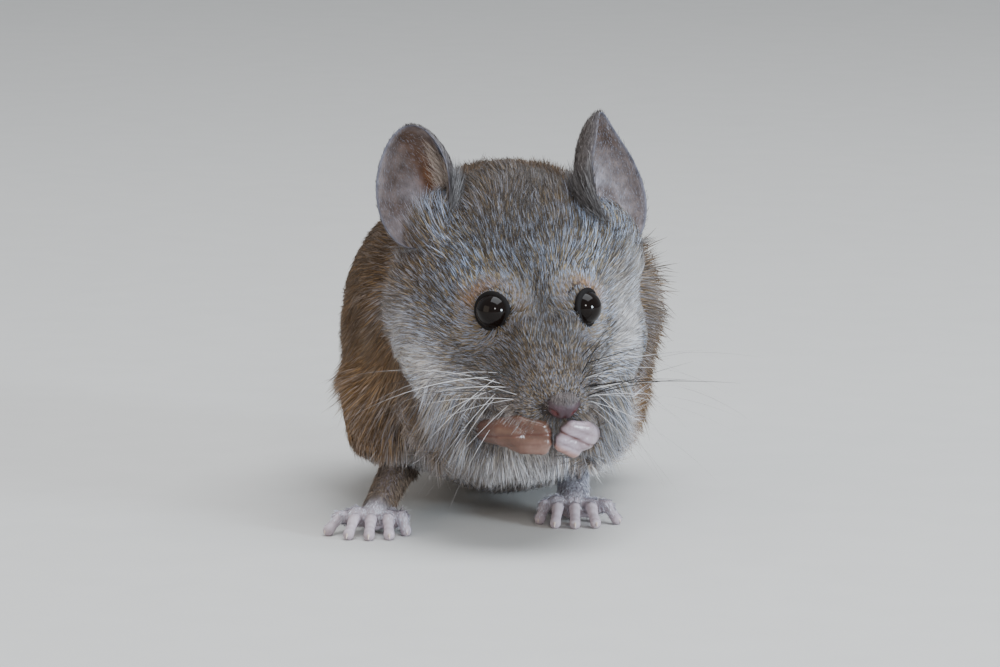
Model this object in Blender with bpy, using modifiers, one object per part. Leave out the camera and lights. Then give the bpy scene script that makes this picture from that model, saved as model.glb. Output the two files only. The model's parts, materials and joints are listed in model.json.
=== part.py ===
"""House mouse, life size, sitting up on its haunches with both forepaws at its mouth.

Run it with blender --background --python part.py, or from Blender's text editor. Units are metres, +Z is
up, the floor is z = 0 and the mouse looks along -Y. Left and right are the animal's own, so its left side
is at +X. The forms below are the outside of the coat. They are written in millimetres and scaled by MM.
"""

import math

import bmesh
import bpy
import numpy as np
from mathutils import Matrix, Vector

MM = 0.001
GAP = 0.3  # the thin cut between neighbouring parts

# The whole animal
TAIL_LENGTH = 74.0

# Head: its own frame has the nose tip at 0, +Y towards the back of the skull and +Z to the crown
NOSE_TIP = (4.5, 0.0, 13.9)
HEAD_PITCH = math.radians(28.0)
HEAD_YAW = math.radians(15.0)
EYE_CENTRE = (4.15, 10.0, 2.9)
EYE_RADIUS = 1.55

# Ears: each an oval cup
EAR_THICKNESS = 0.6

# Trunk
HAUNCH_RADII = (6.4, 11.4, 7.6)
TAIL_ROOT_RADIUS = 1.9
TAIL_TIP_RADIUS = 0.42

# Feet
TOE_RADIUS = 0.56
FINGER_RADIUS = 0.52

# How finely each form is meshed: voxel size in millimetres, smoothing passes and triangles kept
BODY_MESH = (0.55, 16, 2300)
FOOT_MESH = (0.22, 3, 390)
HAND_MESH = (0.2, 3, 330)
FORELEG_MESH = (0.4, 6, 200)
CUTTER_SEGMENTS = 16


# ---------------------------------------------------------------- scene and materials

for old in list(bpy.data.objects):
    bpy.data.objects.remove(old)

mouse = bpy.data.collections.new("house_mouse")
cutters = bpy.data.collections.new("cutters")
for collection in (mouse, cutters):
    bpy.context.scene.collection.children.link(collection)


def finish(name, colour, roughness):
    """A plain Principled material."""
    material = bpy.data.materials.new(name)
    material.use_nodes = True
    shader = material.node_tree.nodes["Principled BSDF"]
    shader.inputs["Base Color"].default_value = (*colour, 1.0)
    shader.inputs["Roughness"].default_value = roughness
    shader.inputs["Metallic"].default_value = 0.0
    return material


GREY_COAT = finish("grey_brown_coat", (0.15, 0.135, 0.12), 0.75)
PALE_COAT = finish("pale_leg_coat", (0.34, 0.31, 0.29), 0.75)
EAR_SKIN = finish("ear_skin", (0.24, 0.19, 0.19), 0.6)
EYE_BLACK = finish("eye_black", (0.006, 0.005, 0.005), 0.05)
NOSE_SKIN = finish("nose_skin", (0.2, 0.12, 0.13), 0.45)
PAW_SKIN = finish("paw_skin", (0.52, 0.34, 0.31), 0.5)
TAIL_SKIN = finish("tail_skin", (0.22, 0.17, 0.16), 0.6)


# ---------------------------------------------------------------- building blocks


def linked(name, mesh, material, collection=mouse):
    obj = bpy.data.objects.new(name, mesh)
    collection.objects.link(obj)
    if material is not None:
        mesh.materials.clear()
        mesh.materials.append(material)
    return obj


def evaluated_mesh(obj):
    """What the modifiers make of an object, as a mesh of its own. The object is removed."""
    bpy.context.view_layer.update()
    graph = bpy.context.evaluated_depsgraph_get()
    mesh = bpy.data.meshes.new_from_object(obj.evaluated_get(graph))
    mesh.transform(obj.matrix_world)
    bpy.data.objects.remove(obj)
    return mesh


def add_ellipsoid(form, centre, radii, frame=None, turn=None, segments=32):
    """An ellipsoid. turn rotates it about its centre, and frame carries it from its own axes to the world."""
    place = Matrix.Translation(Vector(centre) * MM)
    if turn is not None:
        place = place @ turn.to_4x4()
    place = place @ Matrix.Diagonal((*(r * MM for r in radii), 1.0))
    if frame is not None:
        place = frame @ place
    bmesh.ops.create_uvsphere(form, u_segments=segments, v_segments=segments * 5 // 8, radius=1.0, matrix=place)


def add_chain(form, points, radii, frame=None):
    """A limb: a ball at each point, and a tapered barrel from each ball to the next."""
    points = [Vector(p) for p in points]
    for point, radius in zip(points, radii):
        add_ellipsoid(form, point, (radius,) * 3, frame)
    for (a, b), (ra, rb) in zip(zip(points, points[1:]), zip(radii, radii[1:])):
        along = b - a
        place = Matrix.Translation((a + b) / 2 * MM) @ along.to_track_quat("Z", "Y").to_matrix().to_4x4()
        if frame is not None:
            place = frame @ place
        bmesh.ops.create_cone(form, cap_ends=True, segments=20, radius1=ra * MM, radius2=rb * MM,
                              depth=along.length * MM, matrix=place)


def add_loft(form, stations, frame, sides=40):
    """A closed loft along Y. A station is (y, half width, height of the widest point, rise above, drop below)."""
    rings = []
    for y, half_width, middle, rise, drop in stations:
        ring = []
        for k in range(sides):
            angle = 2 * math.pi * k / sides
            lift = rise if math.sin(angle) > 0 else drop
            point = Vector((half_width * math.cos(angle), y, middle + lift * math.sin(angle))) * MM
            ring.append(form.verts.new(frame @ point))
        rings.append(ring)
    for near, far in zip(rings, rings[1:]):
        for k in range(sides):
            form.faces.new((near[k], near[(k + 1) % sides], far[(k + 1) % sides], far[k]))
    form.faces.new(reversed(rings[0]))
    form.faces.new(rings[-1])


def smooth_stations(stations, count):
    """The same loft with more stations, on smooth curves through the given ones."""
    table = np.array(stations, float)
    along = np.linspace(table[0, 0], table[-1, 0], count)
    slope = np.gradient(table, table[:, 0], axis=0)
    rows = []
    for y in along:
        i = int(np.clip(np.searchsorted(table[:, 0], y) - 1, 0, len(table) - 2))
        step = table[i + 1, 0] - table[i, 0]
        t = (y - table[i, 0]) / step
        rows.append((2 * t**3 - 3 * t**2 + 1) * table[i] + (t**3 - 2 * t**2 + t) * step * slope[i]
                    + (3 * t**2 - 2 * t**3) * table[i + 1] + (t**3 - t**2) * step * slope[i + 1])
    return [tuple(row) for row in rows]


def fused(form, mesh_size):
    """One smooth skin over every shape in the form."""
    voxel, passes, triangles = mesh_size
    mesh = bpy.data.meshes.new("form")
    bmesh.ops.recalc_face_normals(form, faces=form.faces[:])
    form.to_mesh(mesh)
    form.free()
    obj = linked("form", mesh, None)
    remesh = obj.modifiers.new("fuse", "REMESH")
    remesh.mode = "VOXEL"
    remesh.voxel_size = voxel * MM
    smooth = obj.modifiers.new("blend", "SMOOTH")
    smooth.factor = 0.5
    smooth.iterations = passes
    mesh = evaluated_mesh(obj)
    obj = linked("form", mesh, None)
    decimate = obj.modifiers.new("facet", "DECIMATE")
    decimate.ratio = min(1.0, triangles / (2.0 * len(mesh.polygons)))
    return evaluated_mesh(obj)


def cutter(name, mesh):
    obj = linked(name, mesh, None, cutters)
    obj.hide_render = True
    obj.display_type = "WIRE"
    return obj


def cutter_box(name, low, high, frame=None):
    form = bmesh.new()
    low, high = Vector(low), Vector(high)
    place = Matrix.Translation((low + high) / 2 * MM) @ Matrix.Diagonal((*((high - low) * MM), 1.0))
    if frame is not None:
        place = frame @ place
    bmesh.ops.create_cube(form, size=1.0, matrix=place)
    mesh = bpy.data.meshes.new(name)
    form.to_mesh(mesh)
    form.free()
    return cutter(name, mesh)


def cutter_ellipsoid(name, centre, radii, frame=None):
    form = bmesh.new()
    add_ellipsoid(form, centre, radii, frame, segments=CUTTER_SEGMENTS)
    mesh = bpy.data.meshes.new(name)
    form.to_mesh(mesh)
    form.free()
    return cutter(name, mesh)


def swollen(name, mesh, by):
    """A cutter of a form's shape, larger by a margin all round."""
    obj = linked(name, mesh.copy(), None)
    grow = obj.modifiers.new("grow", "DISPLACE")
    grow.strength = by * MM
    grow.mid_level = 0.0
    return cutter(name, evaluated_mesh(obj))


def boolean(obj, operation, other):
    modifier = obj.modifiers.new(f"{operation.lower()} {other.name}", "BOOLEAN")
    modifier.operation = operation
    modifier.solver = "EXACT"
    modifier.object = other


def part(name, mesh, material, keep=(), drop=()):
    """A node: the mesh inside every cutter in keep and outside every cutter in drop."""
    obj = linked(name, mesh.copy(), material)
    for other in keep:
        boolean(obj, "INTERSECT", other)
    for other in drop:
        boolean(obj, "DIFFERENCE", other)
    mesh = evaluated_mesh(obj)
    obj = linked(name, mesh, material)
    mesh.shade_smooth()
    mesh.set_sharp_from_angle(angle=math.radians(60))
    return obj


# ---------------------------------------------------------------- the head's frame

HEAD = (Matrix.Translation(Vector(NOSE_TIP) * MM) @ Matrix.Rotation(HEAD_YAW, 4, "Z")
        @ Matrix.Rotation(HEAD_PITCH, 4, "X"))


def mirrored(point, side):
    """A point of the left half, on the given side: +1 left, -1 right."""
    return (point[0] * side, point[1], point[2])


# ---------------------------------------------------------------- body form: head, neck, trunk and haunches

HEAD_STATIONS = [
    (0.6, 1.3, -0.9, 1.1, 1.2),
    (1.6, 2.0, -1.1, 1.6, 1.9),
    (3.2, 2.8, -1.4, 2.6, 2.5),
    (5.2, 3.9, -1.7, 3.8, 3.1),
    (7.5, 5.4, -2.1, 5.2, 3.9),
    (10.0, 7.1, -2.6, 7.0, 4.9),
    (12.5, 8.8, -3.4, 9.0, 5.6),
    (15.0, 10.0, -4.2, 11.2, 6.2),
    (18.0, 10.8, -4.8, 13.3, 6.8),
    (21.0, 11.0, -4.8, 14.3, 7.6),
    (24.0, 10.4, -4.6, 14.2, 8.0),
    (27.0, 8.0, -4.2, 12.0, 7.0),
]


def add_head(form):
    add_loft(form, smooth_stations(HEAD_STATIONS, 34), HEAD)
    add_ellipsoid(form, (0.0, 4.8, -4.2), (2.1, 2.8, 1.5), HEAD)  # chin
    for side in (1, -1):
        add_ellipsoid(form, mirrored((1.9, 3.0, -2.2), side), (2.0, 2.5, 1.9), HEAD)  # whisker pad
        add_ellipsoid(form, mirrored((1.8, 8.8, 2.3), side), (1.6, 3.4, 2.0), HEAD)  # side of the nose bridge
        add_ellipsoid(form, mirrored((3.0, 10.6, 2.0), side), (1.9, 2.9, 2.3), HEAD)  # rim of the eye
        add_ellipsoid(form, mirrored((6.5, 16.0, -5.0), side), (4.7, 6.6, 4.9), HEAD)  # cheek
        add_ellipsoid(form, mirrored((3.0, 6.8, -3.6), side), (2.9, 4.6, 2.8), HEAD)  # fore part of the cheek
        add_ellipsoid(form, mirrored((4.7, 11.0, -6.4), side), (4.3, 6.0, 4.2), HEAD)  # jowl
        add_ellipsoid(form, mirrored((6.6, 20.8, 4.4), side), (2.6, 3.2, 2.8), HEAD)  # root of the ear
    # the head is turned to the left, so the skin bunches up on that side
    add_ellipsoid(form, (7.6, 17.0, -4.6), (5.4, 6.8, 5.2), HEAD)
    add_ellipsoid(form, (7.4, 19.5, 1.0), (5.0, 5.6, 6.2), HEAD)


TRUNK_STATIONS = [
    (12.0, 5.4, 16.0, 8.0, 5.5),
    (14.5, 8.4, 16.8, 13.0, 9.6),
    (18.0, 10.8, 17.6, 15.0, 13.4),
    (22.0, 13.0, 18.0, 15.2, 15.4),
    (27.0, 14.8, 17.8, 14.9, 16.7),
    (32.0, 15.9, 17.0, 14.9, 16.8),
    (38.0, 15.9, 15.6, 14.4, 16.0),
    (44.0, 14.6, 13.6, 13.0, 14.0),
    (49.0, 12.2, 11.3, 10.9, 11.2),
    (53.0, 9.0, 8.8, 8.0, 8.2),
    (56.0, 4.4, 5.6, 4.2, 4.4),
]
TAIL_ROOT = [(-1.2, 51.0, 5.4), (-1.6, 54.5, 3.1), (-1.8, 57.5, 1.95), (-1.9, 61.0, 1.9)]
HAUNCHES = {1: (5.9, 33.0, 9.4), -1: (-9.7, 29.0, 10.4)}


def add_trunk(form):
    add_loft(form, smooth_stations(TRUNK_STATIONS, 46), Matrix.Translation((-0.3 * MM, 0, 0)))
    add_ellipsoid(form, (0.6, 28.0, 20.5), (15.0, 11.5, 10.5))  # shoulders
    add_chain(form, TAIL_ROOT, (4.6, 2.7, TAIL_ROOT_RADIUS + 0.15, TAIL_ROOT_RADIUS))
    for side, centre in HAUNCHES.items():
        add_ellipsoid(form, centre, HAUNCH_RADII, turn=Matrix.Rotation(math.radians(8 * side), 3, "Z"))


body = bmesh.new()
add_head(body)
add_trunk(body)
body_form = fused(body, BODY_MESH)
body_bed = swollen("body_and_gap", body_form, GAP)

floor = cutter_box("floor_below", (-60, -20, -20), (60, 150, 0))


# ---------------------------------------------------------------- eyes and nose


def ball(name, centre, radii, material, frame=HEAD, segments=14, rings=9):
    form = bmesh.new()
    place = frame @ Matrix.Translation(Vector(centre) * MM) @ Matrix.Diagonal((*(r * MM for r in radii), 1.0))
    bmesh.ops.create_uvsphere(form, u_segments=segments, v_segments=rings, radius=1.0, matrix=place)
    mesh = bpy.data.meshes.new(name)
    form.to_mesh(mesh)
    form.free()
    mesh.shade_smooth()
    return linked(name, mesh, material)


SIDES = {"left": 1, "right": -1}
sockets = []
for name, side in SIDES.items():
    centre = mirrored(EYE_CENTRE, side)
    ball(f"eye_{name}", centre, (EYE_RADIUS,) * 3, EYE_BLACK)
    sockets.append(cutter_ellipsoid(f"socket_{name}", centre, (EYE_RADIUS + GAP,) * 3, HEAD))

NOSE_CENTRE = (0.25, 0.75, -0.75)
NOSE_RADII = (1.3, 0.95, 1.05)
nose_bed = cutter_ellipsoid("nose_bed", NOSE_CENTRE, tuple(r + GAP for r in NOSE_RADII), HEAD)
ball("nose", NOSE_CENTRE, NOSE_RADII, NOSE_SKIN, segments=12, rings=7)


# ---------------------------------------------------------------- head, neck, trunk and hind legs: thin cuts

HEAD_BACK, HEAD_UNDER = 22.0, -9.0
NECK_BACK, NECK_UNDER = 26.0, -12.6
FAR = 40.0

head_box = cutter_box("head_space", (-FAR, -FAR, HEAD_UNDER), (FAR, HEAD_BACK, FAR), HEAD)
head_bed = cutter_box("head_space_and_gap", (-FAR, -FAR, HEAD_UNDER - GAP), (FAR, HEAD_BACK + GAP, FAR), HEAD)
neck_box = cutter_box("neck_space", (-FAR, -FAR, NECK_UNDER), (FAR, NECK_BACK, FAR), HEAD)
neck_bed = cutter_box("neck_space_and_gap", (-FAR, -FAR, NECK_UNDER - GAP), (FAR, NECK_BACK + GAP, FAR), HEAD)

legs, leg_beds = {}, []
for name, side in SIDES.items():
    centre = Vector(HAUNCHES[side]) + Vector((3.0 * side, -1.0, -2.0))
    reach = (8.2, 12.6, 9.8)
    legs[name] = cutter_ellipsoid(f"haunch_space_{name}", centre, reach)
    leg_beds.append(cutter_ellipsoid(f"haunch_space_and_gap_{name}", centre, tuple(r + GAP for r in reach)))

part("head", body_form, GREY_COAT, keep=[head_box], drop=[*sockets, nose_bed])
part("neck", body_form, GREY_COAT, keep=[neck_box], drop=[head_bed])
tail_start = cutter_box("tail_space", (-20, 57.0, -20), (20, 150, 20))
part("trunk", body_form, GREY_COAT, drop=[neck_bed, *leg_beds, tail_start, floor])
for name in SIDES:
    part(f"hindleg_{name}", body_form, GREY_COAT, keep=[legs[name]], drop=[neck_bed, floor])


# ---------------------------------------------------------------- ears


def ear_shell(radii, taper, frame):
    """An ellipsoid that narrows towards the tip by taper and widens as much below, where the ear is broadest."""
    form = bmesh.new()
    add_ellipsoid(form, (0, 0, 0), radii, segments=22)
    for vertex in form.verts:
        high = vertex.co.z / (radii[2] * MM)
        vertex.co.x *= 1 - taper * high if high > 0 else 1 - taper * high * (1 + high)
    bmesh.ops.transform(form, matrix=frame, verts=form.verts[:])
    mesh = bpy.data.meshes.new("ear")
    form.to_mesh(mesh)
    form.free()
    return mesh


def ear_cup(bottom, tip, opening, half_width, depth, taper):
    """Half of a hollow shell, from its lowest point to its tip, open towards opening."""
    bottom, tip = Vector(bottom), Vector(tip)
    up = (tip - bottom).normalized()
    out = Vector(opening)
    out = (out - out.dot(up) * up).normalized()
    frame = Matrix.Translation((bottom + tip) / 2 * MM) @ Matrix((out.cross(up), out, up)).transposed().to_4x4()
    outside = (half_width, depth, (tip - bottom).length / 2)
    hollow = cutter("ear_hollow", ear_shell([r - EAR_THICKNESS for r in outside], taper, frame))
    front = cutter_box("ear_front", (-FAR, 0, -FAR), (FAR, FAR, FAR), frame)
    return ear_shell(outside, taper, frame), [hollow, front]


EARS = {
    # lowest point, tip, opening, half width, depth and taper
    "left": ((10.6, 16.4, 26.0), (8.4, 19.2, 37.7), (0.80, -0.55, 0.20), 4.7, 4.4, 0.42),
    "right": ((-8.2, 13.0, 25.6), (-9.2, 17.0, 36.7), (-0.50, -0.80, 0.30), 4.1, 4.0, 0.05),
}
for name, (bottom, tip, *shape) in EARS.items():
    mesh, ear_cutters = ear_cup(bottom, tip, *shape)
    part(f"ear_{name}", mesh, EAR_SKIN, drop=[*ear_cutters, body_bed])


# ---------------------------------------------------------------- hind feet

# Each toe, outwards first: how far out its root is, its angle from the foot's heading, length and setback
TOES = [(2.3, 36, 3.0, 0.8), (1.3, 9, 4.0, 0.1), (0.1, -2, 4.2, 0.0), (-1.2, -10, 4.0, 0.1), (-2.2, -22, 2.9, 1.1)]
BALL_HALF_WIDTH = 1.6
FEET = {
    # the ball of the foot, the heading in degrees from straight ahead (outwards), and the heel
    "left": ((5.8, 19.6, 1.35), 2.0, (5.9, 31.5, 4.2)),
    "right": ((-12.2, 13.6, 1.35), 6.0, (-10.0, 25.0, 4.4)),
}


def foot_form(ball_point, heading, heel, side):
    form = bmesh.new()
    ball_point, heel = Vector(ball_point), Vector(heel)
    arch = ball_point.lerp(heel, 0.5) + Vector((0, 0, 0.15))
    half_ball = Vector((BALL_HALF_WIDTH, 0.0, -0.15))
    add_chain(form, [ball_point, arch, heel], (1.3, 1.35, 1.6))
    add_chain(form, [ball_point - half_ball, ball_point + half_ball], (0.95, 0.95))
    for out, angle, length, back in TOES:
        turn = math.radians((heading + angle) * side)
        ahead = Vector((math.sin(turn), -math.cos(turn), 0.0))
        root = ball_point + Vector((out * side, back - 0.4, 0.0))
        knuckle = root + ahead * (length * 0.42)
        knuckle.z = 1.62
        tip = root + ahead * (length * 0.86)
        tip.z = TOE_RADIUS - 0.1
        claw = root + ahead * (length + 0.15)
        claw.z = 0.34
        add_chain(form, [root, knuckle, tip, claw],
                  (TOE_RADIUS * 1.15, TOE_RADIUS, TOE_RADIUS, TOE_RADIUS * 0.45))
    return form


for name, (ball_point, heading, heel) in FEET.items():
    foot = fused(foot_form(ball_point, heading, heel, SIDES[name]), FOOT_MESH)
    part(f"hindfoot_{name}", foot, PAW_SKIN, drop=[body_bed, floor])


# ---------------------------------------------------------------- forelegs and forepaws

FORELEGS = {
    # shoulder, elbow and wrist
    "left": ((8.0, 20.0, 12.0), (7.4, 14.0, 8.7), (6.6, 5.6, 10.4)),
    "right": ((-8.0, 19.0, 12.0), (-6.2, 13.4, 9.0), (-2.8, 4.9, 10.9)),
}
FORELEG_RADII = (3.2, 2.5, 1.8, 1.3)


def foreleg_form(shoulder, elbow, wrist):
    form = bmesh.new()
    middle = Vector(elbow).lerp(Vector(wrist), 0.5)
    add_chain(form, [shoulder, elbow, middle, wrist], FORELEG_RADII)
    return form


HANDS = {
    # wrist, middle of the palm, knuckles, fingertips
    "left": ((6.6, 5.0, 10.5), (6.1, 3.6, 10.7), (5.9, 2.0, 10.6), (4.4, 1.3, 10.6)),
    "right": ((-2.0, 4.0, 10.9), (-0.4, 2.8, 11.0), (1.1, 1.7, 10.8), (3.2, 1.5, 10.5)),
}
FINGER_HEIGHTS = (1.25, 0.42, -0.42, -1.2)


def hand_form(wrist, palm, knuckles, tips, side):
    form = bmesh.new()
    wrist, palm, knuckles, tips = (Vector(p) for p in (wrist, palm, knuckles, tips))
    add_chain(form, [wrist, palm], (1.2, 1.35))
    add_chain(form, [palm, palm.lerp(knuckles, 0.6)], (1.35, 1.1))
    for k, height in enumerate(FINGER_HEIGHTS):
        lift = Vector((0.0, 0.12 * k, height))
        reach = 1.0 - 0.12 * abs(k - 1.4)
        root = palm.lerp(knuckles, 0.35) + lift * 0.75
        knuckle = knuckles + lift
        end = knuckles.lerp(tips, reach) + lift * 0.85
        curl = end + Vector((0.25 * -side, 0.95, 0.0))
        add_chain(form, [root, knuckle, end, curl],
                  (FINGER_RADIUS * 1.2, FINGER_RADIUS * 1.1, FINGER_RADIUS, FINGER_RADIUS * 0.85))
    return form


for name, side in SIDES.items():
    hand = fused(hand_form(*HANDS[name], side), HAND_MESH)
    arm = fused(foreleg_form(*FORELEGS[name]), FORELEG_MESH)
    hand_bed = swollen(f"forepaw_and_gap_{name}", hand, GAP)
    part(f"forepaw_{name}", hand, PAW_SKIN, drop=[body_bed])
    part(f"foreleg_{name}", arm, PALE_COAT, drop=[body_bed, hand_bed])


# ---------------------------------------------------------------- tail

TAIL_ROUTE = [(-1.8, 57.3), (-2.2, 66.0), (0.5, 80.0), (4.0, 94.0), (5.0, 107.0), (2.5, 119.0), (-2.0, 129.0)]
TAIL_CUTS = (0.0, 0.34, 0.67, 1.0)
TAIL_POINTS = 60


def tail_centreline(count):
    """Points along the tail, at equal steps, and the radius at each."""
    route = np.array(TAIL_ROUTE, float)
    chord = np.r_[0.0, np.cumsum(np.linalg.norm(np.diff(route, axis=0), axis=1))]
    slope = np.gradient(route, chord, axis=0)
    fine = np.linspace(0.0, chord[-1], 600)
    points = []
    for s in fine:
        i = int(np.clip(np.searchsorted(chord, s) - 1, 0, len(chord) - 2))
        step = chord[i + 1] - chord[i]
        t = (s - chord[i]) / step
        points.append((2 * t**3 - 3 * t**2 + 1) * route[i] + (t**3 - 2 * t**2 + t) * step * slope[i]
                      + (3 * t**2 - 2 * t**3) * route[i + 1] + (t**3 - t**2) * step * slope[i + 1])
    points = np.array(points)
    run = np.r_[0.0, np.cumsum(np.linalg.norm(np.diff(points, axis=0), axis=1))]
    want = np.linspace(0.0, min(TAIL_LENGTH, run[-1]), count)
    share = want / want[-1]
    radius = TAIL_ROOT_RADIUS * (1 - share) ** 0.85 + TAIL_TIP_RADIUS * share
    x = np.interp(want, run, points[:, 0])
    y = np.interp(want, run, points[:, 1])
    return [Vector((a, b, r - 0.06)) for a, b, r in zip(x, y, radius)], radius


tail_points, tail_radii = tail_centreline(TAIL_POINTS)
for name, start, end in zip(("tail_base", "tail_middle", "tail_tip"), TAIL_CUTS, TAIL_CUTS[1:]):
    first, last = round(start * (TAIL_POINTS - 1)), round(end * (TAIL_POINTS - 1))
    points = tail_points[first:last + 1]
    radii = list(tail_radii[first:last + 1])
    if last < TAIL_POINTS - 1:
        points[-1] = points[-1] - (points[-1] - points[-2]).normalized() * GAP
    curve = bpy.data.curves.new(name, "CURVE")
    curve.dimensions = "3D"
    curve.bevel_depth = MM
    curve.bevel_resolution = 3
    curve.use_fill_caps = True
    spline = curve.splines.new("POLY")
    step = 2
    kept = list(range(0, len(points) - 1, step)) + [len(points) - 1]
    spline.points.add(len(kept) - 1)
    for target, k in zip(spline.points, kept):
        target.co = (*(points[k] * MM), 1.0)
        target.radius = radii[k]
    tube = linked(name, curve, None)
    mesh = evaluated_mesh(tube)
    welded = bmesh.new()
    welded.from_mesh(mesh)
    bmesh.ops.remove_doubles(welded, verts=welded.verts[:], dist=0.00001)
    bmesh.ops.recalc_face_normals(welded, faces=welded.faces[:])
    welded.to_mesh(mesh)
    welded.free()
    part(name, mesh, TAIL_SKIN, drop=[floor])


# ---------------------------------------------------------------- origin

# The origin is at the bottom centre of the whole animal's box, on the floor.
corners = np.array([vertex.co for obj in mouse.objects for vertex in obj.data.vertices])
low, high = corners.min(axis=0), corners.max(axis=0)
to_origin = Matrix.Translation((-(low[0] + high[0]) / 2, -(low[1] + high[1]) / 2, -low[2]))
for obj in mouse.objects:
    obj.data.transform(to_origin)
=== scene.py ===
# %% [markdown]
# # A house mouse with its paws at its mouth
# This lesson dresses the solid model of a mouse: bare skin, eyes, ears, tail, claws, whiskers and coat.
# The solids give the true outline, out to the tips of the hair. So the skin is made a coat's depth
# inside them, and the hair then fills the space between. Lengths are in millimetres until a mesh is made.

# %% Load the fixed frame
import json
import math
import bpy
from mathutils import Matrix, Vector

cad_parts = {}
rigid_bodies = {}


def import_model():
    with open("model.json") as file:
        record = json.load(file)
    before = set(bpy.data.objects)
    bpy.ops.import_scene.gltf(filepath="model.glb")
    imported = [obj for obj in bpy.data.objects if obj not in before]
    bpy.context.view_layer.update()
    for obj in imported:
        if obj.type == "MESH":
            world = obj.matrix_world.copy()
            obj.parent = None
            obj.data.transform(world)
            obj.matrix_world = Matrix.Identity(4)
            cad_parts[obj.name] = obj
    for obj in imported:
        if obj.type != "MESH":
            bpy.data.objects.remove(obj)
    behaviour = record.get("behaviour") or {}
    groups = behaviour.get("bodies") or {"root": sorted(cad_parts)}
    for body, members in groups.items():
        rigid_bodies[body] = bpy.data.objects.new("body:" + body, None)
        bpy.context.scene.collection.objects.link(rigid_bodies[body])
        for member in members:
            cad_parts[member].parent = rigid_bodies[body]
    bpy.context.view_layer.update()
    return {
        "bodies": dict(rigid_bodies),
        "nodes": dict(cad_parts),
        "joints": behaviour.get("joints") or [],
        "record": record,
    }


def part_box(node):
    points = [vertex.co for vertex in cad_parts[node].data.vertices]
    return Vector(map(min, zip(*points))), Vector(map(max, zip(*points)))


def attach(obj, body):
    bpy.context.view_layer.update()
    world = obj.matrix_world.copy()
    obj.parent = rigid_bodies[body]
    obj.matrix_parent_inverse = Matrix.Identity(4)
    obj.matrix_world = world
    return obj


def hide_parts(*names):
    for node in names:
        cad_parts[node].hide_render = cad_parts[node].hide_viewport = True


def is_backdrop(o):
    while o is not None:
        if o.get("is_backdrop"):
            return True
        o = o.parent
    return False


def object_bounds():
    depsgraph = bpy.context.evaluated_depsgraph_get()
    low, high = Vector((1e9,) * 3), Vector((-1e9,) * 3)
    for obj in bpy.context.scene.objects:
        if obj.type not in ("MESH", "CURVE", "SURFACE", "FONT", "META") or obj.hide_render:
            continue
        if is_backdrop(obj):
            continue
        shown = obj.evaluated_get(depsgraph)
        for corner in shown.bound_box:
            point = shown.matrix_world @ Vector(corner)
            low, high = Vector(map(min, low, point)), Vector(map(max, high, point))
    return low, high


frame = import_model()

from types import SimpleNamespace

import bmesh
import bpy
import numpy as np
from mathutils import Matrix, Vector
from mathutils.kdtree import KDTree

MM = 0.001
print("solids loaded:", len(frame["nodes"]))

# %% [markdown]
# ## The head's own axes
# A mouse's face is easiest to plan looking straight at it. The head has axes of its own, with the nose tip
# at zero, Y towards the back of the skull and Z to the crown, turned and tilted on the body. The two eye
# solids say where that lies in the frame: what is left over is one shift for everything.

# %% Head axes and the shift to the frame
NOSE_TIP = (4.5, 0.0, 13.9)
HEAD_YAW, HEAD_PITCH = math.radians(15.0), math.radians(28.0)
EYE_CENTRE = np.array((4.15, 10.0, 2.9))
EYE_RADIUS = 1.55
SIDES = {"left": 1, "right": -1}

HEAD = Matrix.Translation(NOSE_TIP) @ Matrix.Rotation(HEAD_YAW, 4, "Z") @ Matrix.Rotation(HEAD_PITCH, 4, "X")
HEAD_TURN = np.array(HEAD.to_3x3())
HEAD_ORIGIN = np.array(NOSE_TIP)


def from_head(points):
    """Head coordinates to body coordinates."""
    return np.asarray(points, float) @ HEAD_TURN.T + HEAD_ORIGIN


def in_head(points):
    """Body coordinates to head coordinates."""
    return (np.asarray(points, float) - HEAD_ORIGIN) @ HEAD_TURN


def on_side(point, side):
    return np.array((point[0] * side, point[1], point[2]))


def middle_of(node):
    low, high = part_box(node)
    return np.array((low + high) / 2) / MM


EYES = {name: from_head(on_side(EYE_CENTRE, side)) for name, side in SIDES.items()}
SHIFT = np.mean([middle_of(f"eye_{name}") - EYES[name] for name in SIDES], axis=0)
print("shift to the frame, mm:", np.round(SHIFT, 3))

# %% [markdown]
# ## Small tools for arrays, meshes and materials
# Hundreds of thousands of hairs are too many for a Python loop. Numpy moves them all at once, and these
# few helpers do the usual work: unit vectors, soft steps, smooth noise, paint values, meshes and the
# handful of shader nodes that every finish here is made of.


# %% Array helpers
def unit(v):
    return v / np.maximum(np.linalg.norm(v, axis=-1, keepdims=True), 1e-9)


def soft_step(low, high, x):
    t = np.clip((x - low) / (high - low), 0.0, 1.0)
    return t * t * (3 - 2 * t)


def mix(a, b, share):
    share = np.asarray(share)[..., None]
    return a * (1 - share) + b * share


def paint(red, green, blue):
    """A colour given as 0 to 255, as a paint card does, in the linear values that shaders use."""
    c = np.array((red, green, blue)) / 255.0
    return np.where(c <= 0.04045, c / 12.92, ((c + 0.055) / 1.055) ** 2.4)


def ripple(points, size, seed, waves=14):
    """Smooth noise of about -1 to 1, with features about size millimetres across."""
    dice = np.random.default_rng(seed)
    total = np.zeros(len(points))
    for _ in range(waves):
        pace = 2 * math.pi / (size * dice.uniform(0.8, 2.2))
        total += np.sin(points @ unit(dice.normal(size=3)) * pace + dice.uniform(0, 2 * math.pi))
    return total / math.sqrt(waves / 2) / 1.6


# %% Mesh helpers
def linked(name, data):
    """A new object in the scene."""
    made = bpy.data.objects.new(name, data)
    bpy.context.scene.collection.objects.link(made)
    return made


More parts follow.
